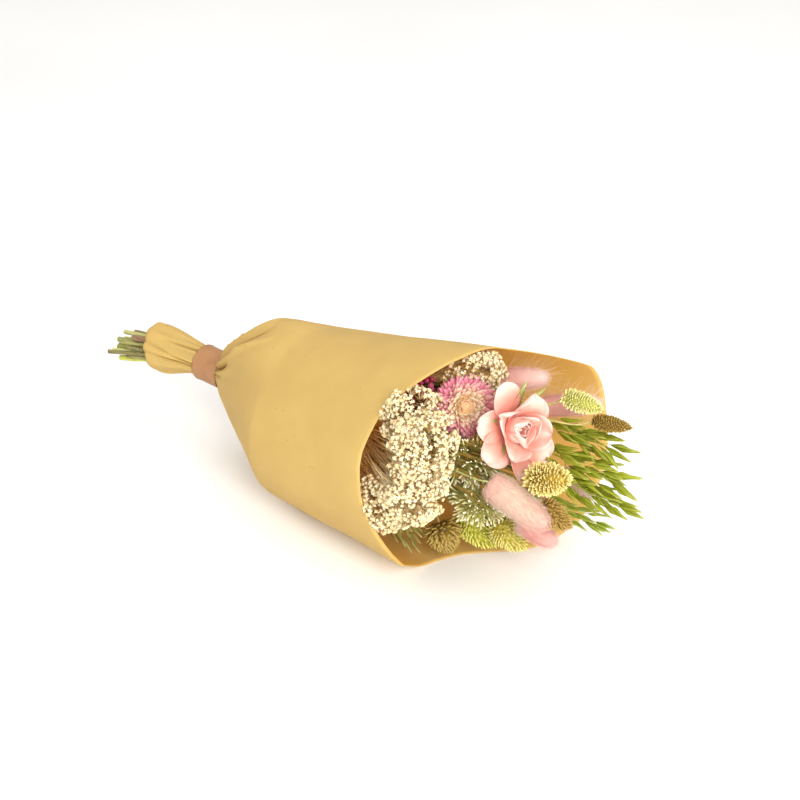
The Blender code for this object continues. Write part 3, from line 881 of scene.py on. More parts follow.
def build_wrap_mesh(settings):
    roll = wrap_roll()
    turns = np.linspace(0.0, roll.round, SHEET_COLUMNS + 1)
    mouths = np.array([roll.mouth(turn) for turn in turns]) - EDGE_ROOM
    table = np.array([sheet_rows(mouth) for mouth in mouths]).T
    radii = np.empty_like(table)
    for j, turn in enumerate(turns):
        for i, x in enumerate(table[:, j]):
            x = max(x, roll.low.x + 0.0003)
            found = roll.radius(x, turn)
            radii[i, j] = radii[i - 1, j] if found is None else found
    radii = smoothed(radii, SHEET_SMOOTHING)
    grid = np.empty((*table.shape, 3))
    creases = np.zeros(table.shape)
    for (i, j), x in np.ndenumerate(table):
        turn = roll.start + turns[j]
        radius = radii[i, j]
        if x > BAND_FRONT:
            creases[i, j] = fold_depth(FLARE_FOLDS, x - BAND_FRONT, turn, radius)
        elif x < BAND_BACK:
            creases[i, j] = fold_depth(COLLAR_FOLDS, BAND_BACK - x, turn, radius)
        radius -= creases[i, j]
        fade = float(smooth_step(x, BAND_FRONT + 0.01, BAND_FRONT + 0.06))
        radius += DENT_DEPTH * dent(x, turn, DENT_RATES) * fade
        back = max(0.0, (BAND_BACK - x) / COLLAR_RUN)
        slant = COLLAR_SLANT * back * (0.5 + 0.5 * math.sin(turn))
        height = roll.height(x) + radius * math.sin(turn)
        grid[i, j] = (x - slant, NECK_Y + radius * math.cos(turn), max(height, FLOOR_GAP))
    mesh = grid_mesh("kraft_wrap", grid)
    # Each fold's depth as a share, kept for the painted shade in the paper's creases
    add_values(mesh, "crease", np.clip(creases / CREASE_SHADE_FULL_DEPTH, 0.0, 1.0).ravel())
    return thickened("kraft_wrap", mesh, settings.thickness)


class BOUQUET_OT_wrap(bpy.types.Operator):
    """Rolls the kraft paper wrap, gathered under the band, with its folds and its slanted mouth"""

    bl_idname = "bouquet.wrap"
    bl_label = "Kraft Wrap"

    def execute(self, context):
        settings = context.scene.bouquet_paper
        mesh = build_wrap_mesh(settings)
        mesh.materials.append(kraft_material(settings.kraft))
        piece("wrap", [mesh], ["kraft_wrap"])
        return {"FINISHED"}


def build_band_mesh():
    """The strip round the wrap's neck, its edges lifting a little as paper pulled tight does."""
    roll = Roll("paper_band", [-1.0, NECK_X, 1.0], [NECK_Z] * 3)
    turns = np.linspace(0.0, roll.round, BAND_COLUMNS)
    rows = np.linspace(roll.low.x + EDGE_ROOM, roll.high.x - EDGE_ROOM, BAND_ROWS)
    radii = np.array([[roll.radius(NECK_X, turn) for turn in turns] for _ in rows])
    radii = smoothed(radii, BAND_SMOOTHING)
    grid = np.empty((*radii.shape, 3))
    for (i, j), radius in np.ndenumerate(radii):
        turn = roll.start + turns[j]
        edge = abs(rows[i] - NECK_X) / (NECK_X - roll.low.x)
        radius += WAVE_DEPTH * dent(rows[i], turn, WAVE_RATES) + EDGE_LIFT * edge**6
        grid[i, j] = (rows[i], NECK_Y + radius * math.cos(turn), NECK_Z + radius * math.sin(turn))
    return thickened("paper_band", grid_mesh("paper_band", grid), BAND_THICKNESS)


class BOUQUET_OT_band(bpy.types.Operator):
    """Lays the bare paper strip round the neck, and gives the elastic tie under it its material"""

    bl_idname = "bouquet.band"
    bl_label = "Paper Band"

    def execute(self, context):
        mesh = build_band_mesh()
        mesh.materials.append(strip_material(context.scene.bouquet_paper.band))
        piece("band", [mesh], ["paper_band"])
        for material_slot in NODES["stem_tie"].material_slots:
            material_slot.material = rubber_material()
        return {"FINISHED"}


# ---------------------------------------------------------------- small shapes


def profile(points, share):
    """The value at a share, on the line through (share, value) points."""
    return np.interp(share, *zip(*points))


def closed_sheet(name, grid, thickness):
    """A thin closed sheet over a grid of points, sharp at its rim. Its rows run along it."""
    grid = np.asarray(grid, float)
    rows, columns = grid.shape[:2]
    normal = np.cross(np.gradient(grid, axis=1), np.gradient(grid, axis=0))
    normal /= np.linalg.norm(normal, axis=2, keepdims=True) + 1e-15
    half = 0.5 * thickness
    t, s = np.meshgrid(np.linspace(0, 1, rows), np.linspace(-1, 1, columns), indexing="ij")
    points = [tuple(p) for p in (grid + normal * half).reshape(-1, 3)]
    along, across = list(t.ravel()), list(np.abs(s).ravel())
    front = np.arange(rows * columns).reshape(rows, columns)
    back = front.copy()
    for i in range(rows):
        for j in range(columns):
            if 0 < i < rows - 1 and 0 < j < columns - 1:
                back[i, j] = len(points)
                points.append(tuple(grid[i, j] - normal[i, j] * half))
                along.append(t[i, j])
                across.append(abs(s[i, j]))
            else:
                points[front[i, j]] = tuple(grid[i, j])
    faces = []
    for i in range(rows - 1):
        for j in range(columns - 1):
            a, b, c, d = (i, j), (i, j + 1), (i + 1, j + 1), (i + 1, j)
            faces.append([front[k] for k in (a, b, c, d)])
            faces.append([back[k] for k in (d, c, b, a)])
    mesh = bpy.data.meshes.new(name)
    mesh.from_pydata(points, [], faces)
    add_values(mesh, "along", along)
    add_values(mesh, "across", across)
    return mesh


def scale_shape(name, width, cup, bend, rows, thickness, widest, bluntness):
    """A pointed scale, bract or leaf of length 1 along Z. Its outer face looks along X."""
    columns = 5
    grid = np.empty((rows, columns, 3))
    for i, t in enumerate(np.linspace(0.0, 1.0, rows)):
        wide = t / widest if t < widest else (1.0 - t) / (1.0 - widest)
        half = 0.5 * width * max(wide, 0.0) ** bluntness + 0.004
        for j, s in enumerate(np.linspace(-1.0, 1.0, columns)):
            grid[i, j] = (-bend * t * t - cup * half * s * s, half * s, t)
    return scene_object(name, closed_sheet(name, grid, thickness))


def hair_shape(name, thickness, bend):
    steps = np.linspace(0.0, 1.0, 5)
    centres = [(bend * t * t, 0.0, t) for t in steps]
    radii = [thickness * w for w in (0.0, 1.0, 0.8, 0.5, 0.0)]
    mesh = lathe_mesh(name, centres, radii, 3)
    add_values(mesh, "along", [v.co.z for v in mesh.vertices])
    return scene_object(name, mesh)


def floret_shape(name, lobes, depth, length, width=1.0):
    """A small bud or open flower: a ball with lobes at its front, on a short foot along Z."""
    heights = (0.0, 0.10, 0.35, 0.62, 0.86, 0.95, 0.97)
    radii = (0.0, 0.16, 0.34, 0.50, 0.42, 0.18, 0.0)
    mesh = lathe_mesh(
        name, [(0, 0, z * length) for z in heights], [r * width for r in radii], 2 * lobes
    )
    for vert in mesh.vertices:
        turn = math.atan2(vert.co.y, vert.co.x)
        share = min(1.0, vert.co.z / (0.62 * length))
        push = 1.0 + depth * share * math.cos(lobes * turn)
        vert.co.x *= push
        vert.co.y *= push
    add_values(mesh, "along", [v.co.z / length for v in mesh.vertices])
    return scene_object(name, mesh)


# ---------------------------------------------------------------- heads

GOLDEN_TURN = math.pi * (3.0 - math.sqrt(5.0))
USUAL_RADIUS = 0.0085  # of a head whose hairs and scales have their given length
SCALE_LENGTH = 0.0056
STEM_STEP, STEM_SIDES = 0.004, 8
STEM_TIP = 0.75  # a stem's width under its head, as a share of its solid's
JOINT_SPACING = 0.085
TAIL_OUTLINE = (
    (0.0, 0.50), (0.05, 0.78), (0.12, 0.93), (0.25, 1.0), (0.45, 0.99), (0.65, 0.92), (0.8, 0.80),
    (0.9, 0.62), (0.97, 0.36), (1.0, 0.0),
)
SPIKE_OUTLINE = (
    (0.0, 0.30), (0.06, 0.62), (0.16, 0.88), (0.32, 1.0), (0.5, 0.97), (0.7, 0.78), (0.86, 0.5),
    (0.95, 0.26), (1.0, 0.0),
)


def head_points(sprig, outline, count, widen, stretch, lean, chance):
    """Places in a spiral over a head's outline. Returns shares, places, aims (leaning out from the
    surface by lean, 0 along it, 1 straight out) and the ways out."""
    first, second = ways_across(sprig.axis)
    length = sprig.length * stretch
    near = 0.03  # the outline's slope is measured this far to each side
    table = np.linspace(0.0, 1.0, 200)
    weight = np.cumsum([profile(outline, t) + 0.05 for t in table])
    weight /= weight[-1]
    shares, places, aims, outs = [], [], [], []
    for k in range(count):
        share = float(np.interp((k + 0.5) / count, weight, table))
        out = way_round(k * GOLDEN_TURN + random.uniform(-chance, chance), first, second)
        radius = sprig.radius * widen * profile(outline, share)
        rise = profile(outline, min(1.0, share + near)) - profile(outline, max(0.0, share - near))
        slope = rise / (2 * near)
        surface = unit(sprig.axis * length + out * slope * sprig.radius * widen)
        normal = unit(np.cross(np.cross(surface, out), surface))
        places.append(sprig.base + sprig.axis * length * share + out * radius)
        aims.append(unit(surface * (1.0 - lean) + normal * lean))
        outs.append(normal)
        shares.append(share)
    return shares, places, aims, outs


def core_mesh(sprig, outline, finish, shrink, stretch=0.84):
    """The closed middle of a head."""
    steps = np.linspace(0.0, 1.0, 18)
    centres = [sprig.base + sprig.axis * sprig.length * stretch * t for t in steps]
    radii = [sprig.radius * shrink * profile(outline, t) for t in steps]
    mesh = lathe_mesh("core", centres, radii, 20)
    along = [np.dot(np.array(v.co) - sprig.base, sprig.axis) for v in mesh.vertices]
    add_values(mesh, "along", np.clip(along, 0, 1))
    mesh.materials.append(finish)
    return mesh


def stem_mesh(sprig, finish, widen=1.0):
    """The stalk from its cut end into the head, a little uneven, with a joint here and there."""
    top = sprig.base + sprig.axis * 0.15 * sprig.length
    line = smooth_line(np.vstack([sprig.stem, top]), STEM_STEP)
    count = len(line)
    thick = np.empty(count)
    joint = random.uniform(0.02, 0.06)
    for k in range(count):
        away = (k * STEM_STEP - joint) % JOINT_SPACING - JOINT_SPACING / 2
        bulge = 0.16 * math.exp(-((away / 0.004) ** 2))
        share = widen + (STEM_TIP - widen) * smooth_step(k / count, 0.1, 0.9)
        thick[k] = sprig.stem_radius * share * (1.0 + bulge)
    return rods("stem", [(line, thick, random.random())], STEM_SIDES, finish)


# ---------------------------------------------------------------- bunny tails

# Looks of the tails: colour at the head's base, its middle and its tip
TAIL_LOOKS = {
    "bunny_tail_1": ((0.98, 0.56, 0.50), (1.00, 0.66, 0.60), (1.00, 0.80, 0.74)),
    "bunny_tail_2": ((1.00, 0.60, 0.54), (1.00, 0.66, 0.60), (1.00, 0.78, 0.72)),
    "bunny_tail_3": ((0.86, 0.56, 0.46), (0.87, 0.69, 0.55), (0.88, 0.56, 0.47)),
    "bunny_tail_4": ((0.96, 0.76, 0.66), (0.96, 0.52, 0.46), (0.97, 0.62, 0.57)),
    "bunny_tail_5": ((0.90, 0.48, 0.44), (0.95, 0.56, 0.52), (0.97, 0.70, 0.66)),
    "bunny_tail_6": ((0.92, 0.68, 0.60), (0.94, 0.74, 0.66), (0.96, 0.84, 0.76)),
}
AWN_TAILS = ("bunny_tail_1", "bunny_tail_2")
AWN_COUNT, AWN_LENGTHS, AWN_RADII = 170, (0.008, 0.020), (0.00007, 0.00003)


def tail_material(name, sprig, colours):
    """Hair whose colour follows the head from its base to its tip, deeper at the hair's root."""
    paint = Paint(name, roughness=0.9, sheen=0.6)
    split = paint.node("VectorMath", paint.place, tuple(sprig.axis), operation="DOT_PRODUCT")
    gone = paint.math("SUBTRACT", split.outputs["Value"], float(np.dot(sprig.base, sprig.axis)))
    gone = paint.math("DIVIDE", gone, sprig.length)
    cloud = paint.math("MULTIPLY", paint.math("SUBTRACT", paint.noise(120.0), 0.5), 0.5)
    gone = paint.math("ADD", gone, cloud)
    base = paint.over(colours[0], colours[1], gone, 0.0, 0.5)
    base = paint.over(base, colours[2], gone, 0.5, 1.0)
    root = scaled(colours[0], 0.72, 0.62, 0.60)
    base = paint.over(base, root, paint.value("along"), 0.0, 0.5, 0.16, 0.0)
    base = paint.over(base, (0.98, 0.88, 0.80), paint.value("tint"), 0.6, 1.0, 0.0, 0.5)
    return paint.finish(base, glow=0.35)


class BOUQUET_OT_bunny_tails(bpy.types.Operator):
    """Grows the bunny tails: a soft core in a coat of fine hairs that lean towards the tip"""

    bl_idname = "bouquet.bunny_tails"
    bl_label = "Bunny Tails"

    def execute(self, context):
        settings = context.scene.bouquet_flowers
        random.seed(settings.seed)
        stalk = streaked_material(
            "bunny_tail_stem", (0.52, 0.54, 0.16), (0.74, 0.74, 0.34), (0.30, 0.24, 0.08)
        )
        hair = hair_shape("hair", 0.014, 0.12)
        for node, colours in TAIL_LOOKS.items():
            sprig = Sprig(node)
            fur = tail_material(node, sprig, colours)
            _, places, aims, outs = head_points(
                sprig, TAIL_OUTLINE, settings.hair_count, 0.83, 0.97, 0.40, 0.4
            )
            aims = [unit(aim + shaken(0.09)) for aim in aims]
            length = settings.hair_length * sprig.radius / USUAL_RADIUS
            sizes = [length * random.uniform(0.75, 1.1) for _ in aims]
            points = point_mesh("hairs", places, aims, outs, sizes)
            coat = strewn(points, hair, fur, settings.seed, 0.2, 3.0)
            core = core_mesh(sprig, TAIL_OUTLINE, fur, 0.86, 0.98)
            meshes = [core, coat, stem_mesh(sprig, stalk)]
            if node in AWN_TAILS:
                meshes.append(awn_mesh(sprig, fur))
            piece(node + "_detail", meshes, [node])
        bpy.data.objects.remove(hair)
        return {"FINISHED"}


def awn_mesh(sprig, finish):
    """Long loose hairs that stand far out of a head."""
    _, places, aims, _ = head_points(sprig, TAIL_OUTLINE, AWN_COUNT, 0.7, 0.97, 0.55, 0.6)
    lines = []
    for place, aim in zip(places, aims):
        long = random.uniform(*AWN_LENGTHS)
        sway = shaken(0.06)
        line = [place + long * t * (aim + sway * t) for t in np.linspace(0.0, 1.0, 5)]
        lines.append((line, np.linspace(*AWN_RADII, 5), 0.9))
    return rods("awns", lines, 3, finish)


# ---------------------------------------------------------------- canary grass

# Looks of the heads: scale edge, keel, tip, how far the scales stand out, their size, and how wide
# the head is against its solid
CANARY_LOOKS = {
    1: ((0.88, 0.84, 0.36), (0.66, 0.66, 0.12), (0.93, 0.90, 0.50), 0.46, 1.00, 0.62),
    2: ((0.50, 0.32, 0.06), (0.22, 0.13, 0.02), (0.76, 0.54, 0.13), 0.34, 0.90, 0.72),
    3: ((0.86, 0.72, 0.26), (0.58, 0.40, 0.05), (0.90, 0.80, 0.40), 0.52, 0.95, 0.68),
    4: ((0.44, 0.27, 0.06), (0.20, 0.12, 0.02), (0.70, 0.50, 0.14), 0.32, 1.05, 0.94),
    5: ((0.80, 0.70, 0.20), (0.52, 0.44, 0.05), (0.90, 0.82, 0.38), 0.46, 0.86, 1.06),
    6: ((0.76, 0.72, 0.14), (0.46, 0.45, 0.04), (0.88, 0.84, 0.34), 0.44, 0.86, 1.18),
    7: ((0.42, 0.28, 0.05), (0.17, 0.10, 0.02), (0.68, 0.50, 0.13), 0.30, 1.15, 1.12),
}


class BOUQUET_OT_canary_grass(bpy.types.Operator):
    """Grows the canary grass: egg-shaped heads of pointed papery scales in spirals"""

    bl_idname = "bouquet.canary_grass"
    bl_label = "Canary Grass"

    def execute(self, context):
        settings = context.scene.bouquet_flowers
        random.seed(settings.seed + 1)
        stalk = streaked_material(
            "canary_grass_stem", (0.46, 0.42, 0.10), (0.66, 0.60, 0.22), (0.22, 0.18, 0.05)
        )
        scale = scale_shape("scale", 0.50, 0.9, -0.05, 6, 0.10, 0.45, 0.7)
        for number, (edge, keel, tip, lean, size, wide) in CANARY_LOOKS.items():
            node = f"canary_grass_{number}"
            sprig = Sprig(node)
            finish = keeled_material(node, edge, keel, tip)
            shares, places, aims, outs = head_points(
                sprig, SPIKE_OUTLINE, settings.scale_count, wide, 0.90, lean, 0.12
            )
            length = SCALE_LENGTH * size * sprig.radius / USUAL_RADIUS
            sizes = [length * (1.05 - 0.35 * share) for share in shares]
            points = point_mesh("scales", places, aims, outs, sizes)
            coat = strewn(points, scale, finish, settings.seed, 0.16, 0.25)
            core = core_mesh(sprig, SPIKE_OUTLINE, finish, wide)
            meshes = [core, coat, stem_mesh(sprig, stalk)]
            piece(node + "_detail", meshes, [node])
        bpy.data.objects.remove(scale)
        return {"FINISHED"}


# ---------------------------------------------------------------- broom bloom and statice

# Looks of the bushy heads: kind, flowers, how much wider than its solid the head is, flower size,
# how far behind the head its branches fork, and how far the head reaches forwards
BUSH_LOOKS = {
    "broom_bloom_1": ("broom", 420, 1.45, 0.00232, 0.070, 1.15),
    "broom_bloom_2": ("broom", 560, 1.55, 0.00232, 0.080, 1.10),
    "broom_bloom_3": ("broom", 600, 1.55, 0.00236, 0.070, 1.10),
    "broom_bloom_4": ("broom", 440, 1.85, 0.00226, 0.055, 1.20),
    "broom_bloom_5": ("broom", 620, 1.60, 0.00232, 0.055, 1.60),
    "white_statice_1": ("statice", 190, 1.45, 0.0020, 0.035, 1.2),
    "white_statice_2": ("statice", 192, 1.05, 0.0020, 0.035, 1.2),
    "white_statice_3": ("statice", 230, 1.70, 0.0020, 0.035, 1.2),
    "burgundy_statice": ("burgundy", 90, 1.25, 0.0030, 0.020, 1.0),
}
STEM_WIDTHS = {"broom": 1.3, "statice": 2.6, "burgundy": 1.6}
BRANCHES = {"broom": 150, "statice": 70, "burgundy": 14}
# Flowers of one spray, and half its width in millimetres
SPRAYS = {"broom": (15, 4.3), "statice": (6, 3.4), "burgundy": (5, 2.6)}
# How far back round the head the flowers go: 0 to its middle, 1 to its base
BACKWARDS = {"broom": 0.06, "statice": 0.6, "burgundy": 0.6}
# How far the paper's inner face keeps from a branch's top, its other points, and a flower
TOP_ROOM, TWIG_ROOM, FLOWER_ROOM = 0.0030, 0.0015, 0.0036
# Radii at the root and end of a branch, of the twig it carries, and of a flower's stalk
BRANCH_RADII, TWIG_RADII, STALK_RADII = (0.00040, 0.00020), (0.00022, 0.00020), (0.00017, 0.00012)


def kept_in(roll, place, room):
    """The place itself, or where the paper would push it to, room away from its inner face."""
    x, y, z = place
    across, up = y - NECK_Y, z - roll.height(x)
    found = roll.layers(x, math.atan2(up, across))
    gone = math.hypot(across, up)
    if not found or gone < found[0] - room:
        return np.array(place)
    share = (found[0] - room - random.uniform(0.0, 0.002)) / gone
    return np.array((x, NECK_Y + across * share, roll.height(x) + up * share))


def bush_lines(sprig, roll, kind, count, widen, fork_back, forwards):
    """Branches of a bushy head. Returns the lines, and where its flowers sit and look."""
    first, second = ways_across(sprig.axis)
    root = sprig.base - sprig.axis * fork_back
    middle = sprig.base + sprig.axis * sprig.length * 0.55 * forwards
    reach = (sprig.length * 0.55 + 0.002) * forwards
    wide = sprig.radius * widen
    branches = BRANCHES[kind]
    lines, places, aims, tops = [], [], [], []
    shares = np.linspace(0.0, 1.0, 7)
    for k in range(branches):
        up = 1.0 - 1.35 * (k + 0.5) / branches
        flat = math.sqrt(max(0.0, 1.0 - up * up))
        out = way_round(k * GOLDEN_TURN + random.uniform(-0.3, 0.3), first, second)
        top = middle + random.uniform(0.55, 0.92) * (sprig.axis * reach * up + out * wide * flat)
        top = kept_in(roll, top, TOP_ROOM)
        tops.append(top)
        start = root + (sprig.base - root) * random.uniform(0.0, 0.7) + 0.30 * wide * flat * out
        bow = out * wide * 0.16 + shaken(0.0012)
        line = [start + (top - start) * t + bow * math.sin(math.pi * t) for t in shares]
        line = [kept_in(roll, place, TWIG_ROOM) for place in line]
        lines.append((line, np.linspace(*BRANCH_RADII, 7), random.random()))
    tops = np.array(tops)
    flowers, half = SPRAYS[kind]
    sprays = count // flowers
    for k in range(sprays):
        up = 1.0 - (1.0 + BACKWARDS[kind]) * (k + random.uniform(0.2, 0.8)) / sprays
        flat = math.sqrt(max(0.0, 1.0 - up * up))
        out = way_round(k * GOLDEN_TURN + random.uniform(-0.5, 0.5), first, second)
        way = unit(sprig.axis * up + out * flat)
        side_a, side_b = ways_across(way)
        share = 1.06 - 0.30 * random.random() ** 1.3
        crown = middle + share * (sprig.axis * reach * up + out * wide * flat)
        near = tops[np.argmin(np.linalg.norm(tops - crown, axis=1))]
        fork = (near + crown) / 2 - way * half * MM
        lines.append(([near, fork], TWIG_RADII, random.random()))
        for n in range(flowers):
            far = math.sqrt((n + 0.5) / flowers)
            aside = way_round(n * GOLDEN_TURN + random.uniform(-0.4, 0.4), side_a, side_b)
            place = crown + (aside * far + way * (0.5 - 0.6 * far * far)) * half * MM
            place = kept_in(roll, place + shaken(0.0006), FLOWER_ROOM)
            line = smooth_line([fork, (fork + place) / 2 + way * 0.0004, place], 0.002)
            lines.append((line, np.linspace(*STALK_RADII, len(line)), random.random()))
            places.append(place)
            aims.append(unit(way + 0.7 * aside * far + shaken(0.25)))
    return lines, places, aims


def leaves_with_painted_shade(sprig):
    """Two long dried leaves deep in the bunch, their near-black colour partly painted shade of the
    depth.
    """
    # Painted shade: the leaves' near-black colours also stand in for the shadow deep in the bunch
    finish = streaked_material(
        "dark_leaf", (0.030, 0.018, 0.010), (0.085, 0.060, 0.025), (0.012, 0.007, 0.004)
    )
    leaf = scale_shape("leaf", 0.17, 0.6, 0.12, 9, 0.02, 0.45, 0.6)
    places = [sprig.base + (-0.020, -0.007, -0.001), sprig.base + (-0.016, 0.002, 0.002)]
    aims = [unit((0.040, 0.016, 0.009)), unit((0.040, 0.006, 0.010))]
    sides = [unit((-0.2, -0.4, 1.0)), unit((-0.2, 0.3, 1.0))]
    points = point_mesh("leaves", places, aims, sides, [0.050, 0.040])
    leaves = strewn(points, leaf, finish, 5, 0.02, 0.2)
    bpy.data.objects.remove(leaf)
    return leaves


class BOUQUET_OT_bushes(bpy.types.Operator):
    """Grows the broom bloom and both kinds of statice: fine twigs full of tiny flowers"""

    bl_idname = "bouquet.bushes"
    bl_label = "Broom Bloom and Statice"

    def execute(self, context):
        settings = context.scene.bouquet_flowers
        random.seed(settings.seed + 2)
        roll = wrap_roll()
        looks = {
            "broom": (
                floret_shape("bud", 4, 0.42, 0.95),
                streaked_material(
                    "broom_twig", (0.60, 0.42, 0.17), (0.95, 0.80, 0.48), (0.34, 0.20, 0.07), 0.7
                ),
                tipped_material(
                    "broom_bud", (0.66, 0.46, 0.17), (0.92, 0.79, 0.50), (0.95, 0.88, 0.64),
                    other=(0.90, 0.68, 0.34), gloss=0.75, glow=0.2,
                ),
            ),
            "statice": (
                floret_shape("trumpet", 5, 0.45, 2.4, 0.52),
                streaked_material(
                    "statice_twig", (0.24, 0.23, 0.05), (0.50, 0.47, 0.14), (0.10, 0.10, 0.02)
                ),
                tipped_material(
                    "statice_flower", (0.30, 0.30, 0.05), (0.70, 0.67, 0.34), (1.00, 0.99, 0.92),
                    other=(0.50, 0.46, 0.16), gloss=0.7, glow=0.25,
                ),
            ),
            "burgundy": (
                floret_shape("cup", 5, 0.30, 1.3),
                streaked_material(
                    "burgundy_twig", (0.20, 0.10, 0.05), (0.34, 0.22, 0.10), (0.08, 0.03, 0.02)
                ),
                tipped_material(
                    "burgundy_flower", (0.14, 0.01, 0.03), (0.34, 0.02, 0.07), (0.50, 0.05, 0.14),
                    other=(0.55, 0.16, 0.22),
                ),
            ),
        }
        dark = streaked_material(
            "broom_stem", (0.12, 0.08, 0.03), (0.34, 0.32, 0.10), (0.05, 0.03, 0.01)
        )
        for node, (kind, count, widen, size, back, forwards) in BUSH_LOOKS.items():
            shape, twig, flower = looks[kind]
            sprig = Sprig(node)
            lines, places, aims = bush_lines(sprig, roll, kind, count, widen, back, forwards)
            sides = [ways_across(aim)[0] for aim in aims]
            sizes = [size * random.uniform(0.72, 1.22) for _ in places]
            points = point_mesh("flowers", places, aims, sides, sizes)
            heads = strewn(points, shape, flower, settings.seed, 0.28, 3.1)
            twigs = rods("twigs", lines, 4, twig)
            stem = stem_mesh(sprig, dark if kind == "broom" else twig, STEM_WIDTHS[kind])
            meshes = [twigs, heads, stem]
            # The dried leaves, near black with painted shade
            if kind == "burgundy":
                meshes.append(leaves_with_painted_shade(sprig))
            piece(node + "_detail", meshes, [node])
        for shape, _, _ in looks.values():
            bpy.data.objects.remove(shape)
        return {"FINISHED"}


# ---------------------------------------------------------------- oats

# Looks of the oats: spikelets, their length, how far they spread, and the colours of edge, rib
# and tip
OAT_LOOKS = {
    "oat_1": (22, 0.021, 1.00, (0.42, 0.47, 0.03), (0.18, 0.24, 0.01), (0.62, 0.60, 0.14)),
    "oat_2": (26, 0.022, 1.00, (0.44, 0.49, 0.03), (0.19, 0.25, 0.01), (0.63, 0.62, 0.14)),
    "oat_3": (20, 0.020, 1.00, (0.43, 0.48, 0.03), (0.19, 0.24, 0.01), (0.63, 0.61, 0.15)),
    "oat_4": (15, 0.016, 0.90, (0.44, 0.52, 0.06), (0.18, 0.24, 0.02), (0.66, 0.66, 0.30)),
    "oat_5": (24, 0.012, 1.60, (0.38, 0.34, 0.08), (0.18, 0.14, 0.03), (0.62, 0.52, 0.22)),
}
RACHIS_RADII = (0.0006, 0.0003)
OAT_STALK_RADIUS = 0.00022


class BOUQUET_OT_oats(bpy.types.Operator):
    """Grows the oats: loose sprays of pointed husks on thin stalks"""

    bl_idname = "bouquet.oats"
    bl_label = "Oats"

    def execute(self, context):
        settings = context.scene.bouquet_flowers
        random.seed(settings.seed + 3)
        stalk = streaked_material(
            "oat_stem", (0.40, 0.44, 0.04), (0.58, 0.60, 0.10), (0.22, 0.22, 0.03)
        )
        husk = scale_shape("husk", 0.20, 0.75, 0.05, 9, 0.035, 0.38, 0.8)
        for node, (count, long, spread, edge, rib, tip) in OAT_LOOKS.items():
            sprig = Sprig(node)
            finish = keeled_material(node, edge, rib, tip, gloss=0.5, glow=0.25)
            first, second = ways_across(sprig.axis)
            places, aims, sides, sizes = [], [], [], []
            rachis = [sprig.base + sprig.axis * sprig.length * t for t in np.linspace(0.0, 0.8, 6)]
            lines = [(rachis, np.linspace(*RACHIS_RADII, 6), 0.3)]
            for k in range(count):
                share = (k + 0.5) / count
                out = way_round(k * GOLDEN_TURN + random.uniform(-0.4, 0.4), first, second)
                swell = math.sin(math.pi * min(1.0, 0.25 + 0.62 * share)) ** 0.7
                wide = sprig.radius * spread * swell
                start = sprig.base + sprig.axis * sprig.length * 0.72 * share
                foot = start + sprig.axis * 0.006 + out * wide * 0.75 + shaken(0.0008)
                droop = np.array((0.0, 0.0, random.uniform(-0.10, 0.08)))
                aim = unit(sprig.axis + out * random.uniform(0.08, 0.34) + droop)
                bend = (start + foot) / 2 + out * 0.0008
                line = smooth_line([start, bend, foot], 0.002)
                lines.append((line, OAT_STALK_RADIUS, random.random()))
                for flip in (1.0, -1.0):
                    places.append(foot)
                    aims.append(unit(aim + flip * 0.07 * out))
                    sides.append(out * flip)
                    sizes.append(long * random.uniform(0.85, 1.08))
            points = point_mesh("husks", places, aims, sides, sizes)
            husks = strewn(points, husk, finish, settings.seed, 0.08, 0.5)
            meshes = [rods("stalks", lines, 5, stalk), husks, stem_mesh(sprig, stalk, 2.2)]
            piece(node + "_detail", meshes, [node])
        bpy.data.objects.remove(husk)
        return {"FINISHED"}


# ---------------------------------------------------------------- strawflower

BRACTS = 260
# The dome under the bracts: height along the axis, and radius
DOME = ((-0.004, 0.006), (0.002, 0.0085), (0.006, 0.0075), (0.0085, 0.004), (0.0095, 0.0))


def strawflower_material():
    """Bracts from orange and cream in the flower's middle to peach and pink outside."""
    paint = Paint("strawflower_bract", roughness=0.42)
    along = paint.value("along")
    rough = paint.noise(900.0, 3.0, 0.6)
    inner = paint.over((1.00, 0.66, 0.34), (1.00, 0.90, 0.70), along, 0.1, 0.8)
    outer = paint.over((1.00, 0.64, 0.50), (0.94, 0.38, 0.55), along, 0.2, 1.0)
    base = paint.over(inner, outer, paint.value("ring"), 0.42, 0.74)
    base = paint.over(base, (0.98, 0.74, 0.66), paint.value("tint"), 0.55, 1.0, 0.0, 0.6)
    base = paint.over(base, (0.86, 0.28, 0.36), rough, 0.58, 0.8, 0.0, 0.25)
    return paint.finish(base, paint.bump(rough, 0.00010, 0.4), glow=0.45)


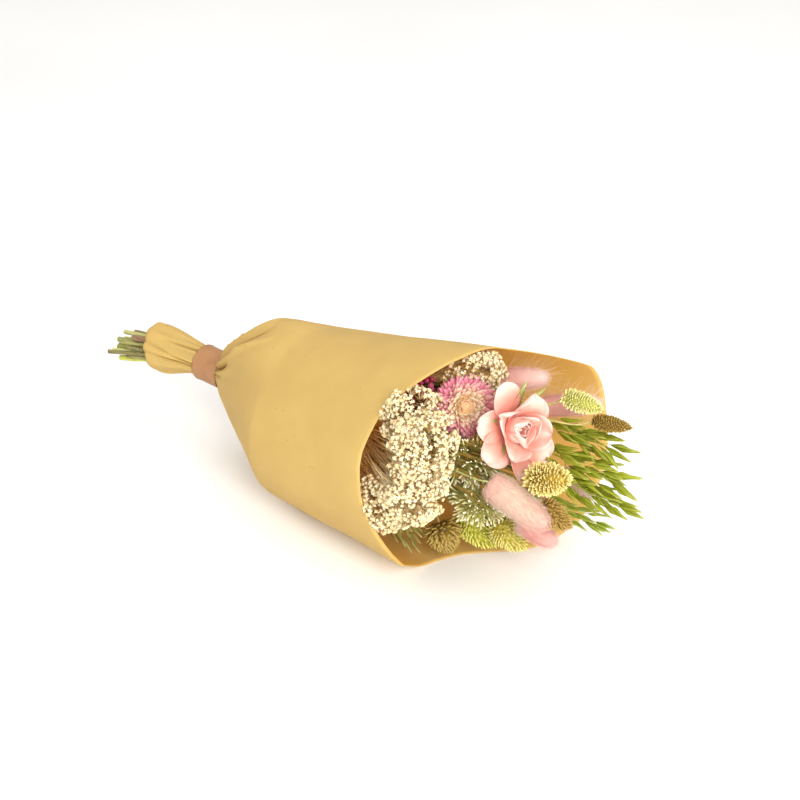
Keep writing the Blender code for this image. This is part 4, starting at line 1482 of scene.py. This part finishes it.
class BOUQUET_OT_strawflower(bpy.types.Operator):
    """Grows the strawflower: rings of stiff pointed bracts round a tight middle"""

    bl_idname = "bouquet.strawflower"
    bl_label = "Strawflower"

    def execute(self, context):
        settings = context.scene.bouquet_flowers
        random.seed(settings.seed + 4)
        sprig = Sprig("strawflower")
        first, second = ways_across(sprig.axis)
        finish = strawflower_material()
        bract = scale_shape("bract", 0.40, 0.7, -0.20, 7, 0.02, 0.55, 0.75)
        middle = sprig.base + sprig.axis * sprig.length * 0.42
        places, aims, sides, sizes, rings = [], [], [], [], []
        for k in range(BRACTS):
            ring = math.sqrt((k + 0.5) / BRACTS)
            out = way_round(k * GOLDEN_TURN, first, second)
            tilt = math.radians(4.0 + 100.0 * ring**1.1 + random.uniform(-9, 9))
            aim = way_round(tilt, sprig.axis, out)
            places.append(middle + aim * 0.0020 + out * 0.003 * ring)
            aims.append(aim)
            sides.append(unit(np.cross(np.cross(aim, sprig.axis), aim)))
            sizes.append((0.0098 + 0.0046 * min(1.0, ring * 1.3)) * random.uniform(0.85, 1.1))
            rings.append(ring)
        points = point_mesh("bracts", places, aims, sides, sizes)
        add_values(points, "ring", rings)
        head = strewn(points, bract, finish, settings.seed, 0.08, 0.35)
        stalk = streaked_material(
            "strawflower_stem", (0.34, 0.34, 0.10), (0.5, 0.48, 0.18), (0.16, 0.13, 0.04)
        )
        steps, radii = zip(*DOME)
        core = lathe_mesh("core", [middle + sprig.axis * t for t in steps], radii, 20)
        core.materials.append(finish)
        meshes = [head, core, stem_mesh(sprig, stalk, 1.2)]
        piece("strawflower_detail", meshes, ["strawflower"])
        bpy.data.objects.remove(bract)
        return {"FINISHED"}


# ---------------------------------------------------------------- rose

# Petals: node, turn round the axis (0 far side, 90 up), length, width, foot's distance from the
# axis, lean out from the axis at foot and lip, cup, and wave of the rim. Millimetres and degrees.
ROSE_PETALS = (
    ("rose_petal_outer_2", 104, 32, 20, 3.0, (54, 76), 0.10, 0.04),
    ("rose_petal_outer_3", 162, 24, 21, 3.0, (56, 100), 0.20, 0.14),
    ("rose_petal_outer_4", 214, 26, 24, 3.0, (60, 98), 0.16, 0.12),
    ("rose_petal_outer_5", 266, 33, 16, 3.0, (56, 84), 0.30, 0.16),
    ("rose_petal_outer_1", 308, 29, 20, 3.0, (54, 84), 0.26, 0.14),
    ("rose_petal_middle_1", 66, 31, 23, 2.6, (26, 56), 0.36, 0.10),
    ("rose_petal_middle_2", 140, 23, 20, 2.4, (28, 62), 0.44, 0.14),
    ("rose_petal_middle_3", 240, 25, 20, 2.4, (28, 64), 0.40, 0.14),
    ("rose_petal_middle_4", 338, 26, 23, 2.4, (24, 60), 0.42, 0.18),
    ("rose_petal_inner_1", 22, 23, 18, 2.0, (12, 36), 0.55, 0.16),
    ("rose_petal_inner_2", 150, 20, 16, 1.8, (8, 24), 0.60, 0.10),
    ("rose_petal_inner_3", 268, 21, 17, 1.8, (10, 30), 0.60, 0.14),
)
PETAL_THICKNESS = 0.0007
# The sepals: turn round the axis in degrees, and length
SEPALS = ((50, 0.030), (78, 0.032), (150, 0.018), (230, 0.018), (300, 0.018))


def rose_ways(axis):
    """A level direction across the rose's axis, and the one at right angles to both."""
    first = unit(np.cross((0.0, 0.0, 1.0), axis))
    return first, np.cross(axis, first)


def petal_mesh(base, axis, turn, long, wide, foot, leans, cup, wave):
    """A petal with a narrow foot, a broad rounded end and a soft wavy rim."""
    first, second = rose_ways(axis)
    out = way_round(turn, first, second)
    side = -math.sin(turn) * first + math.cos(turn) * second
    rows, columns = 22, 19
    grid = np.empty((rows, columns, 3))
    place = base + out * foot
    phase = random.uniform(0.0, 6.0)
    for i, t in enumerate(np.linspace(0.0, 1.0, rows)):
        lean = math.radians(leans[0] + (leans[1] - leans[0]) * t**1.4)
        way = way_round(lean, axis, out)
        inward = math.cos(lean) * out - math.sin(lean) * axis
        if i:
            place = place + way * long / (rows - 1)
        swell = 0.30 + 0.70 * math.sin(min(1.0, t / 0.62) * math.pi / 2) ** 1.3
        end = math.sqrt(max(0.0, 1.0 - (max(0.0, t - 0.60) / 0.405) ** 2.3))
        half = 0.5 * wide * swell * end
        for j, s in enumerate(np.linspace(-1.0, 1.0, columns)):
            deep = cup * wide * (s * s - 0.15) * (0.35 + 0.65 * t) * end**0.5
            ripple = wave * wide * t**2.5 * math.sin(phase + 4.6 * s + 2.0 * t)
            roll = 0.10 * wide * max(0.0, t - 0.78) ** 2 * 9.0
            grid[i, j] = place + side * half * s - inward * (deep - ripple * 0.6 - roll)
    return closed_sheet("petal", grid, PETAL_THICKNESS)


class BOUQUET_OT_rose(bpy.types.Operator):
    """Grows the rose: loose outer petals round a rolled bud, on its calyx and stem"""

    bl_idname = "bouquet.rose"
    bl_label = "Rose"

    def execute(self, context):
        settings = context.scene.bouquet_flowers
        random.seed(settings.seed + 5)
        centres, radii = spine("rose_core")
        base, axis = centres[0], unit(centres[-1] - centres[0])
        finish = petal_material(
            "rose_petal", tuple(settings.rose), (0.97, 0.74, 0.66), (0.88, 0.34, 0.25)
        )
        for node, turn, *sizes, leans, cup, wave in ROSE_PETALS:
            sizes = [size * MM for size in sizes]
            mesh = petal_mesh(base, axis, math.radians(turn), *sizes, leans, cup, wave)
            mesh.materials.append(finish)
            piece(node + "_detail", [mesh], [node])
        piece("rose_core_detail", [bud_mesh(base, axis, finish)], ["rose_core"])
        piece("rose_stem_detail", rose_stem_meshes(base, axis), ["rose_stem"])
        return {"FINISHED"}


def bud_mesh(base, axis, finish):
    """The rolled middle: a sheet that spirals in on itself."""
    first, second = rose_ways(axis)
    rows, columns = 14, 110
    grid = np.empty((rows, columns, 3))
    for i, t in enumerate(np.linspace(0.0, 1.0, rows)):
        for j, s in enumerate(np.linspace(0.0, 1.0, columns)):
            turn = 0.6 + 2.6 * 2.0 * math.pi * s
            shape = math.sin(math.pi * (0.18 + 0.62 * t)) ** 0.8
            radius = (0.0012 + 0.0068 * s) * shape + 0.0012 * t * t
            high = 0.002 + 0.0175 * t * (0.82 + 0.14 * math.sin(3.0 * turn) + 0.05 * s)
            grid[i, j] = base + axis * high + way_round(turn, first, second) * radius
    mesh = closed_sheet("bud", grid, PETAL_THICKNESS)
    mesh.materials.append(finish)
    return mesh


def rose_stem_meshes(base, axis):
    """The stem, and the long sepals that look out from under the petals."""
    centres, radii = spine("rose_stem")
    green = streaked_material(
        "rose_green", (0.26, 0.33, 0.07), (0.42, 0.47, 0.16), (0.10, 0.09, 0.03)
    )
    line = smooth_line(centres, 0.003)
    shares = np.linspace(0.0, 1.0, len(line))
    thick = np.interp(shares, np.linspace(0.0, 1.0, len(radii)), radii) * 0.95
    meshes = [rods("stem", [(line, thick, 0.4)], 12, green)]
    leaf = scale_shape("sepal", 0.22, 0.5, 0.14, 8, 0.03, 0.25, 0.8)
    outs = [way_round(math.radians(turn), *rose_ways(axis)) for turn, _ in SEPALS]
    places = [base + out * 0.004 - axis * 0.001 for out in outs]
    aims = [unit(axis * 0.55 + out) for out in outs]
    sizes = [length for _, length in SEPALS]
    points = point_mesh("sepals", places, aims, [-axis] * len(SEPALS), sizes)
    meshes.append(strewn(points, leaf, green, 3, 0.05, 0.2))
    bpy.data.objects.remove(leaf)
    return meshes


# ---------------------------------------------------------------- stage

AIM = (0.130587, 0.060580, 0.05)  # the camera's aim, from the axis at the band's back
FLOOR_HALF = 6.0
SKY_COLOUR, SKY_STRENGTH = (1.0, 0.985, 0.96, 1.0), 0.88
# Lights: name, place, size, power, colour
LIGHTS = (
    ("key", (1.15, -0.75, 0.95), 0.7, 18.5, (1.0, 0.97, 0.92)),
    ("mouth", (1.0, -0.35, 0.24), 0.6, 6.0, (1.0, 0.97, 0.92)),
    ("top", (0.2, 0.45, 1.2), 1.0, 4.0, (1.0, 1.0, 0.98)),
    ("fill", (-0.55, -0.85, 1.1), 1.0, 3.0, (1.0, 0.98, 0.95)),
)


def area_light(aim, name, place, size, power, colour):
    """A round light at place that shines at aim."""
    data = bpy.data.lights.new(name, "AREA")
    data.shape = "DISK"
    data.size = size
    data.energy = power
    data.color = colour
    light = scene_object(name, data)
    light.location = place
    light.rotation_euler = (Vector(place) - aim).to_track_quat("Z", "Y").to_euler()


class BOUQUET_OT_stage(bpy.types.Operator):
    """Sets up the pale floor, the soft lights and the camera"""

    bl_idname = "bouquet.stage"
    bl_label = "Stage"

    def execute(self, context):
        scene = context.scene
        settings = scene.bouquet_stage
        floor = bpy.data.meshes.new("floor")
        corners = [(-1, -1, 0), (1, -1, 0), (1, 1, 0), (-1, 1, 0)]
        corners = [tuple(c * FLOOR_HALF for c in corner) for corner in corners]
        floor.from_pydata(corners, [], [(0, 1, 2, 3)])
        ground = scene_object("floor", floor, floor_material())
        ground.location.z = -FLOOR_GAP
        aim = Vector((BAND_BACK, NECK_Y, 0.0)) + Vector(AIM)
        a, e = settings.azimuth, settings.elevation
        back = Vector((math.sin(a) * math.cos(e), -math.cos(a) * math.cos(e), math.sin(e)))
        data = bpy.data.cameras.new("camera")
        data.lens = settings.lens
        data.clip_end = 20.0
        camera = scene_object("camera", data)
        camera.location = aim + back * settings.distance
        camera.rotation_euler = back.to_track_quat("Z", "Y").to_euler()
        scene.camera = camera
        world = bpy.data.worlds.new("studio")
        world.use_nodes = True
        sky = world.node_tree.nodes["Background"]
        sky.inputs["Color"].default_value = SKY_COLOUR
        sky.inputs["Strength"].default_value = SKY_STRENGTH
        scene.world = world
        scene.view_settings.view_transform = "Standard"
        for light in LIGHTS:
            area_light(aim, *light)
        return {"FINISHED"}


# ---------------------------------------------------------------- panel and start


class BOUQUET_PT_panel(bpy.types.Panel):
    """Lists the steps that build the bouquet"""

    bl_label = "Dried Flower Bouquet"
    bl_idname = "BOUQUET_PT_panel"
    bl_space_type = "VIEW_3D"
    bl_region_type = "UI"
    bl_category = "Bouquet"

    def draw(self, context):
        for operator in OPERATORS:
            self.layout.operator(operator.bl_idname)
        for name, settings in SETTINGS.items():
            box = self.layout.box()
            for label in settings.__annotations__:
                box.prop(getattr(context.scene, name), label)


OPERATORS = (
    BOUQUET_OT_stage, BOUQUET_OT_wrap, BOUQUET_OT_band, BOUQUET_OT_bunny_tails,
    BOUQUET_OT_canary_grass, BOUQUET_OT_bushes, BOUQUET_OT_oats, BOUQUET_OT_strawflower,
    BOUQUET_OT_rose,
)
CLASSES = (*SETTINGS.values(), *OPERATORS, BOUQUET_PT_panel)


def register():
    for cls in CLASSES:
        bpy.utils.register_class(cls)
    for name, settings in SETTINGS.items():
        setattr(bpy.types.Scene, name, PointerProperty(type=settings))


def unregister():
    for name in SETTINGS:
        delattr(bpy.types.Scene, name)
    for cls in reversed(CLASSES):
        bpy.utils.unregister_class(cls)


def main():
    register()
    for operator in OPERATORS:
        group, name = operator.bl_idname.split(".")
        getattr(getattr(bpy.ops, group), name)()


if __name__ == "__main__":
    main()
